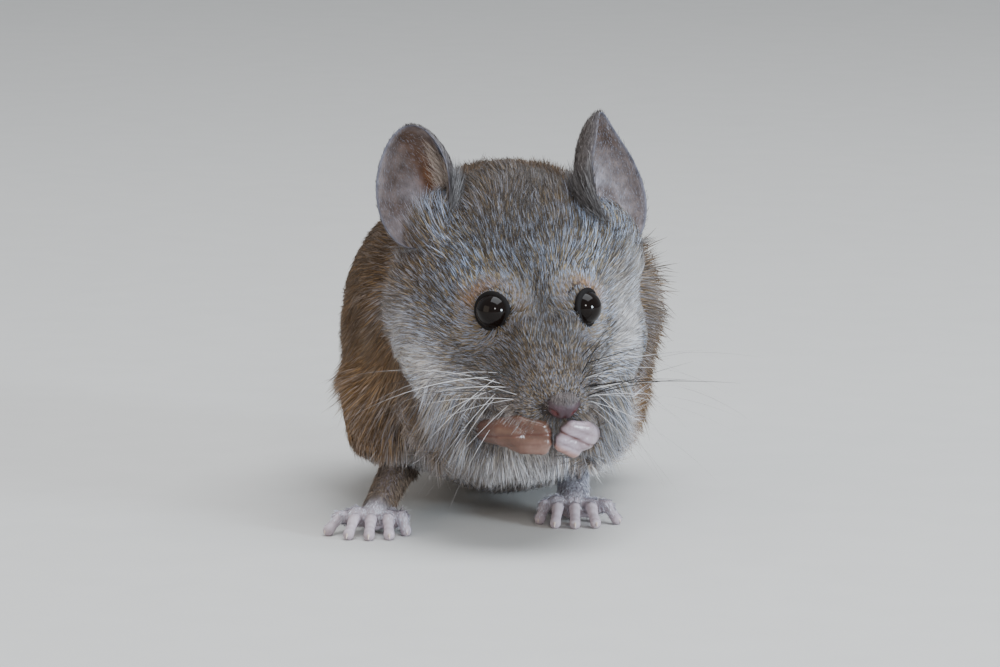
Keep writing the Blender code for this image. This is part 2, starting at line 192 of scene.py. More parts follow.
def mesh_from(name, points, *face_tables):
    """A mesh from points in millimetres and tables of faces. A table has a column for each corner."""
    corners = np.concatenate([table.ravel() for table in face_tables]).astype(np.int32)
    sizes = np.concatenate([np.full(len(table), table.shape[1]) for table in face_tables])
    mesh = bpy.data.meshes.new(name)
    mesh.vertices.add(len(points))
    mesh.vertices.foreach_set("co", ((points + SHIFT) * MM).astype(np.float32).ravel())
    mesh.loops.add(len(corners))
    mesh.loops.foreach_set("vertex_index", corners)
    mesh.polygons.add(len(sizes))
    mesh.polygons.foreach_set("loop_start", np.r_[0, np.cumsum(sizes)[:-1]].astype(np.int32))
    mesh.polygons.foreach_set("use_smooth", np.ones(len(sizes), bool))
    mesh.update(calc_edges=True)
    return mesh


def store(mesh, name, values):
    """Keeps one colour, or one number, for each point of a mesh."""
    if values.ndim == 1:
        mesh.attributes.new(name, "FLOAT", "POINT").data.foreach_set("value", values.astype(np.float32))
    else:
        rgba = np.c_[values, np.ones(len(values))].astype(np.float32)
        mesh.color_attributes.new(name, "FLOAT_COLOR", "POINT").data.foreach_set("color", rgba.ravel())


def show(name, mesh, material, slot, *nodes):
    """Puts a mesh in the scene: it rides on the body and stands for the named solids."""
    piece = linked(name, mesh)
    mesh.materials.append(material)
    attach(piece, "root")
    if nodes:
        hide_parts(*nodes)
    return piece


# %% Material helpers
def new_material(name):
    """A material, with its nodes, its links and its shader."""
    material = bpy.data.materials.new(name)
    material.use_nodes = True
    tree = material.node_tree
    return material, tree.nodes, tree.links, tree.nodes["Principled BSDF"]


def stored(nodes, name):
    """Reads what store() kept on the mesh."""
    node = nodes.new("ShaderNodeAttribute")
    node.attribute_name = name
    return node


def noise(nodes, scale, detail=2.0):
    node = nodes.new("ShaderNodeTexNoise")
    node.inputs["Scale"].default_value = scale
    node.inputs["Detail"].default_value = detail
    return node


def ranged(nodes, low, high):
    """Turns 0 to 1 into low to high."""
    node = nodes.new("ShaderNodeMapRange")
    node.inputs["To Min"].default_value = low
    node.inputs["To Max"].default_value = high
    return node


def two_tones(nodes, first, second, start=0.0, end=1.0):
    """A ramp from one colour to another."""
    node = nodes.new("ShaderNodeValToRGB")
    for stop, colour, at in zip(node.color_ramp.elements, (first, second), (start, end)):
        stop.color = (*colour, 1)
        stop.position = at
    return node


def scaled_colour(nodes):
    """A colour times a number."""
    node = nodes.new("ShaderNodeVectorMath")
    node.operation = "SCALE"
    return node


# %% [markdown]
# ## Camera, floor and light
# A long lens, low and straight in front, keeps the small head from bulging. A cool soft box far to the
# right models the face, and a small one beside the lens puts the spark in the eyes. A wide panel hangs
# above, a warm one fills from the left, and the pale floor and world lighten the shade.

# %% Camera
LOOK_AT = np.array((-0.87, 0.0, 20.0))
LOOK_DISTANCE = 483.0
LOOK_DOWN = math.radians(8.0)


def placed(direction, distance):
    """A spot at a distance from the point looked at, in metres."""
    return Vector((LOOK_AT + SHIFT + np.asarray(direction) * distance) * MM)


camera = linked("camera", bpy.data.cameras.new("camera"))
bpy.context.scene.camera = camera
camera.data.lens, camera.data.sensor_width = 200, 36
camera.data.clip_start, camera.data.clip_end = 0.01, 20
camera.location = placed((0, -math.cos(LOOK_DOWN), math.sin(LOOK_DOWN)), LOOK_DISTANCE)
camera.rotation_euler = (math.pi / 2 - LOOK_DOWN, 0, 0)
print("camera at, m:", [round(c, 4) for c in camera.location])

# %% Floor and world
FLOOR_SIZE = 6.0
form = bmesh.new()
bmesh.ops.create_grid(form, x_segments=8, y_segments=8, size=FLOOR_SIZE / 2)
floor_mesh = bpy.data.meshes.new("floor")
form.to_mesh(floor_mesh)
form.free()
linked("floor", floor_mesh)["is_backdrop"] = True

paper, nodes, links, shader = new_material("pale_paper")
grain = noise(nodes, 900.0)
tone = two_tones(nodes, paint(205, 203, 200), paint(212, 210, 207))
links.new(grain.outputs["Fac"], tone.inputs["Fac"])
links.new(tone.outputs["Color"], shader.inputs["Base Color"])
shader.inputs["Roughness"].default_value = 0.8
floor_mesh.materials.append(paper)

world = bpy.data.worlds.new("studio")
world.use_nodes = True
sky = world.node_tree.nodes["Background"]
sky.inputs["Color"].default_value = (0.82, 0.86, 0.9, 1)
sky.inputs["Strength"].default_value = 0.55
bpy.context.scene.world = world
print("floor, m across:", FLOOR_SIZE)


# %% Lights
def soft_box(name, direction, distance, size, power, colour):
    """A square lamp that faces the point looked at. distance is in millimetres, size in metres."""
    light = bpy.data.lights.new(name, "AREA")
    light.shape = "SQUARE"
    light.size = size
    light.energy = power
    light.color = colour
    lamp = linked(name, light)
    way = unit(np.array(direction, float))
    lamp.location = placed(way, distance)
    lamp.rotation_euler = Vector(-way).to_track_quat("-Z", "Y").to_euler()
    print(f"{name}: {power} W")


soft_box("key_box", (0.80, -0.55, 0.14), 520, 0.11, 3.2, (0.76, 0.89, 1.0))
soft_box("eye_spark", (0.18, -0.90, 0.38), 500, 0.07, 0.6, (1.0, 1.0, 1.0))
soft_box("top_panel", (0.25, -0.1, 1.0), 620, 0.55, 5.3, (0.90, 0.95, 1.0))
soft_box("left_fill", (-0.9, -0.7, 0.3), 700, 0.5, 1.2, (1.0, 0.86, 0.68))

# %% [markdown]
# ## Shapes that run together
# Limbs and toes are easiest to plan as balls and tapered barrels. A voxel remesh melts them into one closed
# form, and a little smoothing rounds the joins, much as a modeller blends clay with a thumb.


# %% Balls and barrels
def add_ball(form, centre, radii, frame=None):
    place = Matrix.Translation(Vector(centre) * MM) @ Matrix.Diagonal((*(r * MM for r in radii), 1.0))
    if frame is not None:
        place = frame @ place
    bmesh.ops.create_uvsphere(form, u_segments=32, v_segments=20, radius=1.0, matrix=place)


def add_chain(form, points, radii):
    """A ball at each point, and a tapered barrel from each ball to the next."""
    points = [Vector(p) for p in points]
    for point, radius in zip(points, radii):
        add_ball(form, point, (radius,) * 3)
    for (a, b), (ra, rb) in zip(zip(points, points[1:]), zip(radii, radii[1:])):
        along = b - a
        place = Matrix.Translation((a + b) / 2 * MM) @ along.to_track_quat("Z", "Y").to_matrix().to_4x4()
        bmesh.ops.create_cone(form, cap_ends=True, segments=24, radius1=ra * MM, radius2=rb * MM,
                              depth=along.length * MM, matrix=place)


# %% The melt
def melted(form, voxel, passes, grow=0.0):
    """The form as one skin: its points in millimetres and its four-cornered faces."""
    mesh = bpy.data.meshes.new("form")
    form.to_mesh(mesh)
    form.free()
    obj = linked("form", mesh)
    if grow:
        swell = obj.modifiers.new("swell", "DISPLACE")
        swell.strength, swell.mid_level = grow * MM, 0.0
    remesh = obj.modifiers.new("melt", "REMESH")
    remesh.mode, remesh.voxel_size = "VOXEL", voxel * MM
    smooth = obj.modifiers.new("thumb", "SMOOTH")
    smooth.factor, smooth.iterations = 0.5, passes
    bpy.context.view_layer.update()
    made = bpy.data.meshes.new_from_object(obj.evaluated_get(bpy.context.evaluated_depsgraph_get()))
    bpy.data.objects.remove(obj)
    points = np.empty(len(made.vertices) * 3)
    made.vertices.foreach_get("co", points)
    corners = np.empty(len(made.loops), np.int32)
    made.loops.foreach_get("vertex_index", corners)
    bpy.data.meshes.remove(made)
    return points.reshape(-1, 3) / MM, corners.reshape(-1, 4)


def normals_of(points, faces):
    """A unit normal for each point, from the faces round it."""
    a, b, c = points[faces[:, 0]], points[faces[:, 1]], points[faces[:, 2]]
    d = points[faces[:, 3]] if faces.shape[1] == 4 else a
    facing = np.cross(c - a, d - b) if faces.shape[1] == 4 else np.cross(b - a, c - a)
    total = np.zeros_like(points)
    for k in range(3):
        for corner in faces.T:
            total[:, k] += np.bincount(corner, facing[:, k], len(points))
    return unit(total)


# %% Where the skin is gathered
flesh = []  # points, faces, colour and dampness of each stretch of skin


def add_flesh(points, faces, colour, damp=0.0):
    """Keeps a stretch of skin. damp is 0 for dry skin and 1 for the wet edge of a lid or nostril."""
    count = len(points)
    colour = np.broadcast_to(colour, (count, 3))
    flesh.append((points, faces, colour, np.broadcast_to(np.asarray(damp, float), count)))


# %% [markdown]
# ## The body's skin
# Under the hair a mouse is smooth, with no joints to be seen. The solids of head, neck, trunk and legs
# are swollen a little so that they touch and melted into one. The next step draws every point inwards.

# %% Melt the furred solids together
FURRED = ["head", "neck", "trunk", "hindleg_left", "hindleg_right", "foreleg_left", "foreleg_right"]
GROW = 0.2
body = bmesh.new()
for node in FURRED + ["eye_left", "eye_right", "nose"]:
    body.from_mesh(frame["nodes"][node].data)
bmesh.ops.remove_doubles(body, verts=body.verts[:], dist=1e-6)
surface, quads = melted(body, voxel=0.34, passes=14, grow=GROW)
surface = surface - SHIFT
print("skin faces:", len(quads))

# %% [markdown]
# ## How deep the coat is
# The skin must lie as far inside the solids as the hair over it is thick, and that changes from place to
# place: a tenth of a millimetre at the nose, half a millimetre between the eyes, one and a half on the back,
# and more on the left flank, where long hairs stand loosely off the body behind the cheek. Legs, ears and
# nose are placed first, because the coat changes beside each of them. Soft steps join the depths.

# %% Where legs, ears and nose are
FORELEGS = {
    # shoulder, elbow and wrist
    "left": ((8.0, 20.0, 12.0), (7.4, 14.0, 8.7), (6.6, 5.6, 10.4)),
    "right": ((-8.0, 19.0, 12.0), (-6.2, 13.4, 9.0), (-2.8, 4.9, 10.9)),
}
HEELS = {"left": (5.9, 31.5, 4.2), "right": (-10.0, 25.0, 4.4)}
EARS = {
    # lowest point, tip, the way the cup opens, half width, depth, and how much it narrows to the tip
    "left": ((11.1, 16.4, 25.8), (8.2, 19.2, 37.7), (0.80, -0.55, 0.20), 4.0, 4.2, 0.42),
    "right": ((-8.2, 13.0, 25.6), (-9.2, 17.0, 36.7), (-0.50, -0.80, 0.30), 4.1, 4.0, 0.05),
}
NOSE_CENTRE = np.array((0.45, 0.8, -1.05))
NOSE_RADII = np.array((1.45, 1.05, 1.08))
print("distance between heels, mm:", round(math.dist(*HEELS.values()), 1))


# %% Measures of place
def far_from(points, spot):
    return np.linalg.norm(points - np.asarray(spot, float), axis=-1)


def far_from_limb(points, route):
    """Distance to the nearest straight run of a route."""
    best = np.full(len(points), 1e9)
    for a, b in zip(route, route[1:]):
        a, b = np.array(a), np.array(b)
        t = np.clip((points - a) @ (b - a) / ((b - a) @ (b - a)), 0, 1)
        best = np.minimum(best, np.linalg.norm(points - a - t[:, None] * (b - a), axis=1))
    return best


def head_share(points):
    """1 on the head, falling to 0 on the neck and chest."""
    h = in_head(points)
    beyond_cheek = np.where(h[:, 0] > 0, soft_step(12.4, 13.6, h[:, 0]), soft_step(-11.2, -12.4, h[:, 0]))
    return (1 - soft_step(20.0, 27.0, h[:, 1])) * soft_step(-12.5, -8.5, h[:, 2]) * (1 - beyond_cheek)


def near_eye(points):
    return np.min([far_from(points, spot) for spot in EYES.values()], axis=0)


def near_arm(points):
    """1 on the free end of a foreleg, 0 on the body."""
    ends = [(0.5 * (np.array(elbow) + wrist), wrist) for _, elbow, wrist in FORELEGS.values()]
    return 1 - soft_step(2.2, 4.0, np.min([far_from_limb(points, end) for end in ends], axis=0))


def fringe(points):
    """1 on the left shoulder and flank, where long hairs stand off the body behind the cheek."""
    box = soft_step(6.0, 10.0, points[:, 0]) * soft_step(14.0, 20.0, points[:, 1])
    box = box * soft_step(46.0, 36.0, points[:, 1])
    return box * soft_step(5.0, 11.0, points[:, 2]) * (1 - head_share(points))


# %% The depth, and the skin drawn inwards
def coat_depth(points):
    """How far each point of the skin lies inside the tips of the hair, in millimetres."""
    h = in_head(points)
    on_head = np.interp(h[:, 1], [0.0, 2.5, 6.0, 10.0, 16.0, 24.0], [0.08, 0.2, 0.35, 0.5, 0.75, 1.1])
    on_body = 1.5 - 0.5 * (1 - soft_step(3.0, 9.0, points[:, 2]))
    depth = on_head + (on_body - on_head) * (1 - head_share(points)) + 2.6 * fringe(points)
    depth = depth + (0.4 - depth) * near_arm(points)
    eye = 1 - soft_step(2.2, 4.6, near_eye(points))
    depth = depth + (0.15 - depth) * eye
    tail = soft_step(49.0, 57.0, points[:, 1])
    depth = depth + (0.15 - depth) * tail
    from_pad = np.linalg.norm((h - NOSE_CENTRE) / NOSE_RADII, axis=1)
    return depth + 0.35 * (1 - soft_step(0.8, 1.05, from_pad))


def eased(points, faces, weight, rounds):
    """Draws each point towards its neighbours, as far as its weight says, to take out ridges."""
    a, b = faces.ravel(), np.roll(faces, -1, axis=1).ravel()
    count = np.maximum(np.bincount(a, minlength=len(points)), 1)[:, None]
    for _ in range(rounds):
        middle = np.stack([np.bincount(a, points[b, k], len(points)) for k in range(3)], axis=1) / count
        points = points + (middle - points) * weight[:, None]
    return points


on_trunk = (1 - head_share(surface)) * (1 - near_arm(surface)) * soft_step(5.0, 9.0, surface[:, 2])
surface = eased(surface, quads, 0.5 * on_trunk * soft_step(57.0, 50.0, surface[:, 1]), 60)
depth = coat_depth(surface)
surface = surface - normals_of(surface, quads) * (GROW + depth)[:, None]
print("coat depth, mm:", round(depth.min(), 2), "to", round(depth.max(), 2))

# %% [markdown]
# ## Eyes and lids
# A mouse's eye is nearly a whole bead: little white shows, and a thin black lid grips it just past its
# widest part. The skin is pushed back inside the bead within the opening, and a turned ring makes the
# lid. The opening is drawn out to a small corner on the side of the nose.

# %% Which way the eyes look
EYE_SIDEWAYS, EYE_UPWARDS = math.radians(48), math.radians(22)
EYE_AXIS = np.array((math.sin(EYE_SIDEWAYS) * math.cos(EYE_UPWARDS),
                     -math.cos(EYE_SIDEWAYS) * math.cos(EYE_UPWARDS),
                     math.sin(EYE_UPWARDS)))
LID_ANGLE = math.radians(71)
LID_BLACK = paint(18, 15, 15)
LID_PROFILE = [  # angle past the lid's edge in degrees, and height above the eye
    (-3.0, -0.10), (-1.0, 0.03), (1.5, 0.14), (5.0, 0.24),
    (10.0, 0.27), (16.0, 0.18), (24.0, 0.02), (34.0, -0.2)]
RING_POINTS = 72


def eye_frame(side):
    """Three directions for an eye: out of it, towards the nose, and the third square to both."""
    out = unit(HEAD_TURN @ on_side(EYE_AXIS, side))
    noseward = HEAD_TURN @ np.array((0.0, -1.0, -0.55))
    noseward = unit(noseward - (noseward @ out) * out)
    return out, noseward, np.cross(out, noseward)


def lid_opening(turn):
    """The opening's angle from the eye's axis. turn is 0 towards the nose."""
    corner = np.maximum(np.cos(turn), 0) ** 10
    return LID_ANGLE + math.radians(7) * corner - math.radians(2) * np.cos(2 * turn)


print("eye axis, head frame:", np.round(EYE_AXIS, 2))


# %% Room for the eyes
def opened(points, name):
    """Draws the skin back inside the bead within the opening, and lays it on the bead round about."""
    out = eye_frame(SIDES[name])[0]
    arm = points - EYES[name]
    far = np.linalg.norm(arm, axis=1)
    angle = np.arccos(np.clip(unit(arm) @ out, -1, 1))
    inside = 1 - soft_step(math.radians(74), math.radians(92), angle)
    near = far < EYE_RADIUS + 2.0
    wanted = EYE_RADIUS + 0.12 - 0.75 * inside
    pull = np.where(near, 1 - soft_step(math.radians(88), math.radians(112), angle), 0)
    return points + unit(arm) * ((wanted - far) * pull)[:, None]


def lid_rings(name):
    """The turned lid of an eye: its points, ring by ring, and its faces."""
    out, noseward, third = eye_frame(SIDES[name])
    turns = np.linspace(0, 2 * math.pi, RING_POINTS, endpoint=False)
    rings = []
    for past, height in LID_PROFILE:
        a = lid_opening(turns) + math.radians(past)
        way = (np.cos(a)[:, None] * out + (np.sin(a) * np.cos(turns))[:, None] * noseward
               + (np.sin(a) * np.sin(turns))[:, None] * third)
        rings.append(EYES[name] + way * (EYE_RADIUS + height))
    k = np.arange(RING_POINTS)
    after = (k + 1) % RING_POINTS
    faces = [np.c_[k + r * RING_POINTS, k + (r + 1) * RING_POINTS,
                   after + (r + 1) * RING_POINTS, after + r * RING_POINTS] for r in range(len(rings) - 1)]
    return np.concatenate(rings), np.concatenate(faces)


ring_number = np.arange(len(LID_PROFILE))
lid_wetness = np.repeat(np.interp(ring_number, [0, 1], [0.5, 0.0]), RING_POINTS)
lid_shade = np.repeat(np.interp(ring_number, [0, 4, 7], [1.0, 1.2, 2.0]), RING_POINTS)
for name in SIDES:
    surface = opened(surface, name)
    points, faces = lid_rings(name)
    add_flesh(points, faces, LID_BLACK * lid_shade[:, None], lid_wetness)
print("lid points:", len(points))


# %% Eyeballs
def eye_material():
    """Nearly black, with faint brown clouds, partly iris and partly painted warm reflection, and smooth
    enough to mirror a lamp.
    """
    material, nodes, links, shader = new_material("wet_black_eye")
    # Brown clouds: partly the dark iris, partly a painted reflection of warm surroundings.
    cloud = noise(nodes, 700.0)
    ramp = two_tones(nodes, paint(5, 4, 4), paint(26, 15, 10), 0.35, 0.75)
    links.new(cloud.outputs["Fac"], ramp.inputs["Fac"])
    links.new(ramp.outputs["Color"], shader.inputs["Base Color"])
    shader.inputs["Roughness"].default_value = 0.03
    shader.inputs["Specular IOR Level"].default_value = 0.2
    return material


EYE_MATERIAL = eye_material()
for name, side in SIDES.items():
    form = bmesh.new()
    out = Vector(eye_frame(side)[0])
    turn = out.to_track_quat("Z", "Y").to_matrix().to_4x4()
    bmesh.ops.create_uvsphere(form, u_segments=64, v_segments=48, radius=EYE_RADIUS * MM,
                              matrix=Matrix.Translation(Vector(EYES[name] + SHIFT) * MM) @ turn)
    mesh = bpy.data.meshes.new(f"eyeball_{name}")
    form.to_mesh(mesh)
    form.free()
    mesh.shade_smooth()
    show(f"eyeball_{name}", mesh, EYE_MATERIAL, "eye_black", f"eye_{name}")
print("eyeball, mm across:", 2 * EYE_RADIUS)

# %% [markdown]
# ## The nose
# The nose is a bare, damp pad, a little wider than tall, with a comma-shaped nostril on each side and a
# groove down its middle. It starts as a fine ball, and each dent is a soft push inwards.

# %% A fine ball, and dents
NOSE_PINK, NOSE_TOP = paint(64, 49, 54), paint(62, 55, 56)
NOSTRIL_RED = paint(74, 18, 18)


def ring_faces(rings, sides):
    """Faces between neighbouring closed rings, whose points are numbered ring by ring."""
    ring, k = (a.ravel() for a in np.meshgrid(np.arange(rings - 1), np.arange(sides), indexing="ij"))
    after = (k + 1) % sides
    return np.c_[ring * sides + k, (ring + 1) * sides + k, (ring + 1) * sides + after, ring * sides + after]


def fine_ball(columns=72, rows=48):
    """Points on a unit ball about the Y axis, and its faces."""
    down_it = np.linspace(0.02, math.pi - 0.02, rows)
    round_it = np.linspace(0, 2 * math.pi, columns, endpoint=False)
    polar, turn = (a.ravel() for a in np.meshgrid(down_it, round_it, indexing="ij"))
    points = np.c_[np.sin(polar) * np.cos(turn), -np.cos(polar), np.sin(polar) * np.sin(turn)]
    return points, ring_faces(rows, columns)


def dent(points, spot, radii):
    """1 in the middle of a soft oval dent, 0 outside it."""
    return np.exp(-(((points - np.array(spot)) / np.array(radii)) ** 2).sum(axis=1))


ball, ball_faces = fine_ball()
print("ball points:", len(ball))

# %% Nose pad
nostrils = sum(dent(ball, (0.66 * s, -0.72, -0.2), (0.2, 0.5, 0.3))
               + 0.7 * dent(ball, (0.86 * s, -0.5, 0.06), (0.2, 0.4, 0.14)) for s in (1, -1))
groove = dent(ball, (0.0, -0.8, -0.7), (0.12, 0.8, 0.5))
pad = ball * NOSE_RADII * (1 - 0.26 * np.minimum(nostrils, 1) - 0.14 * groove)[:, None]
pad[:, 0] *= 1 + 0.22 * ball[:, 2]
pebbles = ripple(ball, 0.16, 3) * 0.012
pad = pad + unit(ball) * pebbles[:, None] + NOSE_CENTRE
colour = mix(NOSE_PINK, NOSE_TOP, soft_step(0.4, 0.9, ball[:, 2]))
colour = mix(mix(colour, NOSTRIL_RED, np.clip(nostrils * 1.3, 0, 1)), NOSTRIL_RED, 0.7 * groove)
nose_pad = from_head(pad)
add_flesh(nose_pad, ball_faces, colour * (1 + 0.15 * ripple(ball, 0.5, 4))[:, None], 0.45 + 0.5 * nostrils)
print("nose pad, mm:", np.round(np.ptp(pad, axis=0), 2))

# %% [markdown]
# ## Paws
# Both forepaws are held up to the mouth with the four fingers curled, and the long hind feet lie flat with
# five toes spread. Each finger is a row of balls that swell at the joints. The same points carry on to the
# claws, so that every claw sits on its toe.

# %% Forepaws
FINGER_RADIUS = 0.6
HANDS = {
    # wrist, middle of the palm, knuckles, fingertips, and how far the fist leans outwards in degrees
    "left": ((6.9, 5.0, 10.4), (6.4, 3.6, 10.5), (6.1, 2.1, 10.3), (4.7, 1.3, 10.8), 28.0),
    "right": ((-2.0, 4.0, 10.8), (-0.4, 2.8, 10.9), (1.0, 1.8, 10.8), (3.2, 1.5, 10.5), 4.0),
}
FINGER_HEIGHTS = (1.15, 0.5, -0.5, -1.15)
# Painted light and shade: the right paw is painted darker and oranger as shade, the left paler and bluer as
# cool lamplight.
PAW_PINK_LIT_AND_SHADED = {"left": paint(150, 134, 142), "right": paint(88, 60, 48)}
PAW_BLUSH_LIT_AND_SHADED = {"left": paint(174, 164, 178), "right": paint(120, 92, 82)}
CREASE_AND_SHADE_PINK, LOW_FINGER_SHADE_ORANGE = paint(84, 46, 36), paint(140, 92, 62)
claws = []  # root, tip and thickness of each claw


def hand(name, side):
    """A closed fist at the end of a wrist, as one melted form."""
    wrist, palm, knuckles, tips = (np.array(p) for p in HANDS[name][:4])
    lean = math.radians(HANDS[name][4]) * side
    form = bmesh.new()
    add_chain(form, [wrist, palm], (1.05, 1.3))
    add_chain(form, [palm, palm + (knuckles - palm) * 0.6], (1.35, 1.15))
    for k, height in enumerate(FINGER_HEIGHTS):
        lift = np.array((math.sin(lean) * height, 0.12 * k, math.cos(lean) * height))
        reach = 1.0 - 0.12 * abs(k - 1.4)
        root = palm + (knuckles - palm) * 0.35 + lift * 0.75
        knuckle = knuckles + lift
        end = knuckles + (tips - knuckles) * reach + lift * 0.85
        middle = (knuckle + end) / 2 + np.array((0, -0.06, 0))
        curl = end + np.array((-0.25 * side, 0.95, 0.0))
        add_chain(form, [root, knuckle, middle, end, curl],
                  np.array((1.1, 1.08, 0.96, 1.0, 0.8)) * FINGER_RADIUS)
        way = unit(curl - end)
        claws.append((curl + way * 0.2, curl + way * 0.9 + np.array((0, 0, -0.25)), 0.15))
    return melted(form, voxel=0.1, passes=6)


# %% The skin of the forepaws
for name, side in SIDES.items():
    wrist, palm, knuckles = (np.array(p) for p in HANDS[name][:3])
    points, faces = hand(name, side)
    lean = math.radians(HANDS[name][4]) * side
    up_hand = (points - knuckles) @ np.array((math.sin(lean), 0.0, math.cos(lean)))
    points = points - normals_of(points, faces) * (0.1 * np.exp(-(up_hand / 0.1) ** 2))[:, None]
    fold = np.exp(-(up_hand / 0.13) ** 2) + 0.35 * np.exp(-((np.abs(up_hand) - 0.85) / 0.1) ** 2)
    fine = np.clip(ripple(points * np.array((0.6, 0.6, 2.6)), 0.8, 11), 0, 1)
    blush = soft_step(-0.2, -1.5, up_hand) * soft_step(-2.0, 1.5, (points[:, 0] - knuckles[0]) * -side)
    colour = mix(PAW_PINK_LIT_AND_SHADED[name], PAW_BLUSH_LIT_AND_SHADED[name], np.clip(blush + 0.3 * ripple(points, 1.6, 12), 0, 1))
    # Painted shade: the lowest finger of the left paw is painted orange-brown.
    colour = mix(colour, LOW_FINGER_SHADE_ORANGE, 0.7 * soft_step(-0.9, -1.5, up_hand) * (side > 0))
    # Painted shade: the paw darkens towards the wrist, where it goes in under the fur.
    from_wrist = (points - wrist) @ unit(palm - wrist)
    colour = colour * (0.4 + 0.6 * soft_step(-0.8, 2.2, from_wrist))[:, None]
    # Painted shade: the folds, with fine wrinkles, are painted darker.
    add_flesh(points, faces, mix(colour, CREASE_AND_SHADE_PINK, np.clip(0.75 * fold + 0.25 * fine, 0, 1)), 0.95)
    print(f"forepaw {name}: {len(points)} points")

# %% Hind feet
TOE_RADIUS = 0.56
TOES = [  # how far out the root is, the angle from the foot's heading, the length and the setback
    (2.3, 36, 3.0, 0.8),
    (1.3, 9, 4.0, 0.1),
    (0.1, -2, 4.2, 0.0),
    (-1.2, -10, 4.0, 0.1),
    (-2.2, -22, 2.9, 1.1)]
BALL_HALF_WIDTH = 1.6
FEET = {
    # the ball of the foot, and the heading in degrees outwards from straight ahead
    "left": ((5.8, 19.6, 1.35), 2.0),
    "right": ((-12.2, 13.6, 1.35), 6.0),
}
FOOT_GREY = paint(186, 174, 182)


def foot(name, side):
    """A flat foot with five spread toes, as one melted form."""
    ball_point, heading = FEET[name]
    ball_point, heel = np.array(ball_point), np.array(HEELS[name])
    half_ball = np.array((BALL_HALF_WIDTH, 0.0, -0.15))
    form = bmesh.new()
    arch = (ball_point + heel) / 2 + np.array((0, 0, 0.15))
    add_chain(form, [ball_point, arch, heel], (1.15, 1.2, 1.4))
    add_chain(form, [ball_point - half_ball, ball_point + half_ball], (0.88, 0.88))
    for out, angle, length, back in TOES:
        turn = math.radians((heading + angle) * side)
        ahead = np.array((math.sin(turn), -math.cos(turn), 0.0))
        root = ball_point + np.array((out * side, back - 0.4, 0.0))
        knuckle, pad, tip = (root + ahead * length * share for share in (0.42, 0.66, 0.86))
        knuckle[2], pad[2], tip[2] = 1.55, 0.95, TOE_RADIUS - 0.08
        add_chain(form, [root, knuckle, pad, tip], np.array((1.1, 0.98, 0.8, 0.92)) * TOE_RADIUS)
        end = root + ahead * (length + 0.15)
        end[2] = 0.2
        claws.append((tip + ahead * 0.25 + np.array((0, 0, 0.12)), end, 0.17))
    return melted(form, voxel=0.12, passes=3)


# %% The skin of the hind feet
feet = {}
for name, side in SIDES.items():
    points, faces = foot(name, side)
    points[:, 2] = np.maximum(points[:, 2], 0.02)
    rings = 0.5 + 0.5 * np.sin(points[:, 1] * 9.0 + 2 * ripple(points, 2.0, 21))
    # A faint ring pattern, and painted shade: the sole is a little darker low down by the floor.
    colour = mix(FOOT_GREY, CREASE_AND_SHADE_PINK, 0.18 * rings + 0.1 * soft_step(1.0, 0.2, points[:, 2]))
    add_flesh(points, faces, colour, 0.3)
    feet[name] = (points, faces)
print("claws planned:", len(claws))

# %% [markdown]
# ## Ears
# A mouse's ear is a big thin cup, almost bare. Each is a disc of rings bent over half of an oval ball:
# the middle of the disc is the deep of the cup, and its edge is the rim. Two such sheets, a quarter of a
# millimetre apart, close on each other at the rim. Soft pushes add the fold behind the front edge.

# %% Ear sheets
EAR_WALL = 0.6
EAR_THICKNESS = 0.26
EAR_RINGS, EAR_SPOKES = 34, 96
EAR_POINTS = EAR_RINGS * EAR_SPOKES


def ear_frame(name):
    """Middle, the three directions across, out and up, and the half height of an ear."""
    bottom, tip, opening = (np.array(v) for v in EARS[name][:3])
    up = unit(tip - bottom)
    out = unit(opening - (opening @ up) * up)
    return (bottom + tip) / 2, np.array((np.cross(out, up), out, up)), np.linalg.norm(tip - bottom) / 2


def ear_sheet(name, side, inwards):
    """Points of one face of an ear, with how far forward, how high and how near the rim each lies."""
    centre, axes, half_height = ear_frame(name)
    half_width, deep, taper = EARS[name][3:]
    from_middle = np.linspace(0.02, math.pi / 2, EAR_RINGS)
    round_it = np.linspace(0, 2 * math.pi, EAR_SPOKES, endpoint=False)
    slope, turn = (a.ravel() for a in np.meshgrid(from_middle, round_it, indexing="ij"))
    forward, high, rim = np.sin(slope) * np.cos(turn), np.sin(slope) * np.sin(turn), slope / (math.pi / 2)
    thick = EAR_THICKNESS * (1 - 0.75 * soft_step(0.9, 1.0, rim))
    shrink = 0.5 * EAR_WALL + inwards * thick / 2
    folds = 0.10 * np.sin(high * 9.0 + forward * 3) * soft_step(-0.1, -0.6, forward)
    folds = folds * soft_step(1.0, 0.8, rim)
    ridge = 0.55 * np.exp(-((forward - 0.50 - 0.1 * high) / 0.13) ** 2) * soft_step(0.95, 0.5, high)
    ridge = ridge * soft_step(-0.9, -0.4, high)
    depth = deep - shrink - folds - ridge
    narrow = 1 - taper * high * np.where(high > 0, 1, 1 + high)
    narrow = narrow * (1 - 0.7 * taper * soft_step(0.2, 0.9, high))
    across = side * forward * (half_width - shrink) * narrow
    local = np.c_[across, -np.cos(slope) * depth, high * (half_height - shrink)]
    return centre + local @ axes, forward, high, rim


print("ear heights, mm:", {name: round(float(2 * ear_frame(name)[2]), 1) for name in EARS})


# %% Ear faces
def ear_faces(start, flip):
    """The faces of one sheet, whose first point has the number start."""
    faces = ring_faces(EAR_RINGS, EAR_SPOKES) + start
    return faces[:, ::-1] if flip else faces


def ear_edge(flip):
    """The faces that join the rims of the two sheets."""
    last = np.arange(EAR_SPOKES) + (EAR_RINGS - 1) * EAR_SPOKES
    nxt = np.roll(last, -1)
    edge = np.c_[last, last + EAR_POINTS, nxt + EAR_POINTS, nxt]
    return edge[:, ::-1] if flip else edge


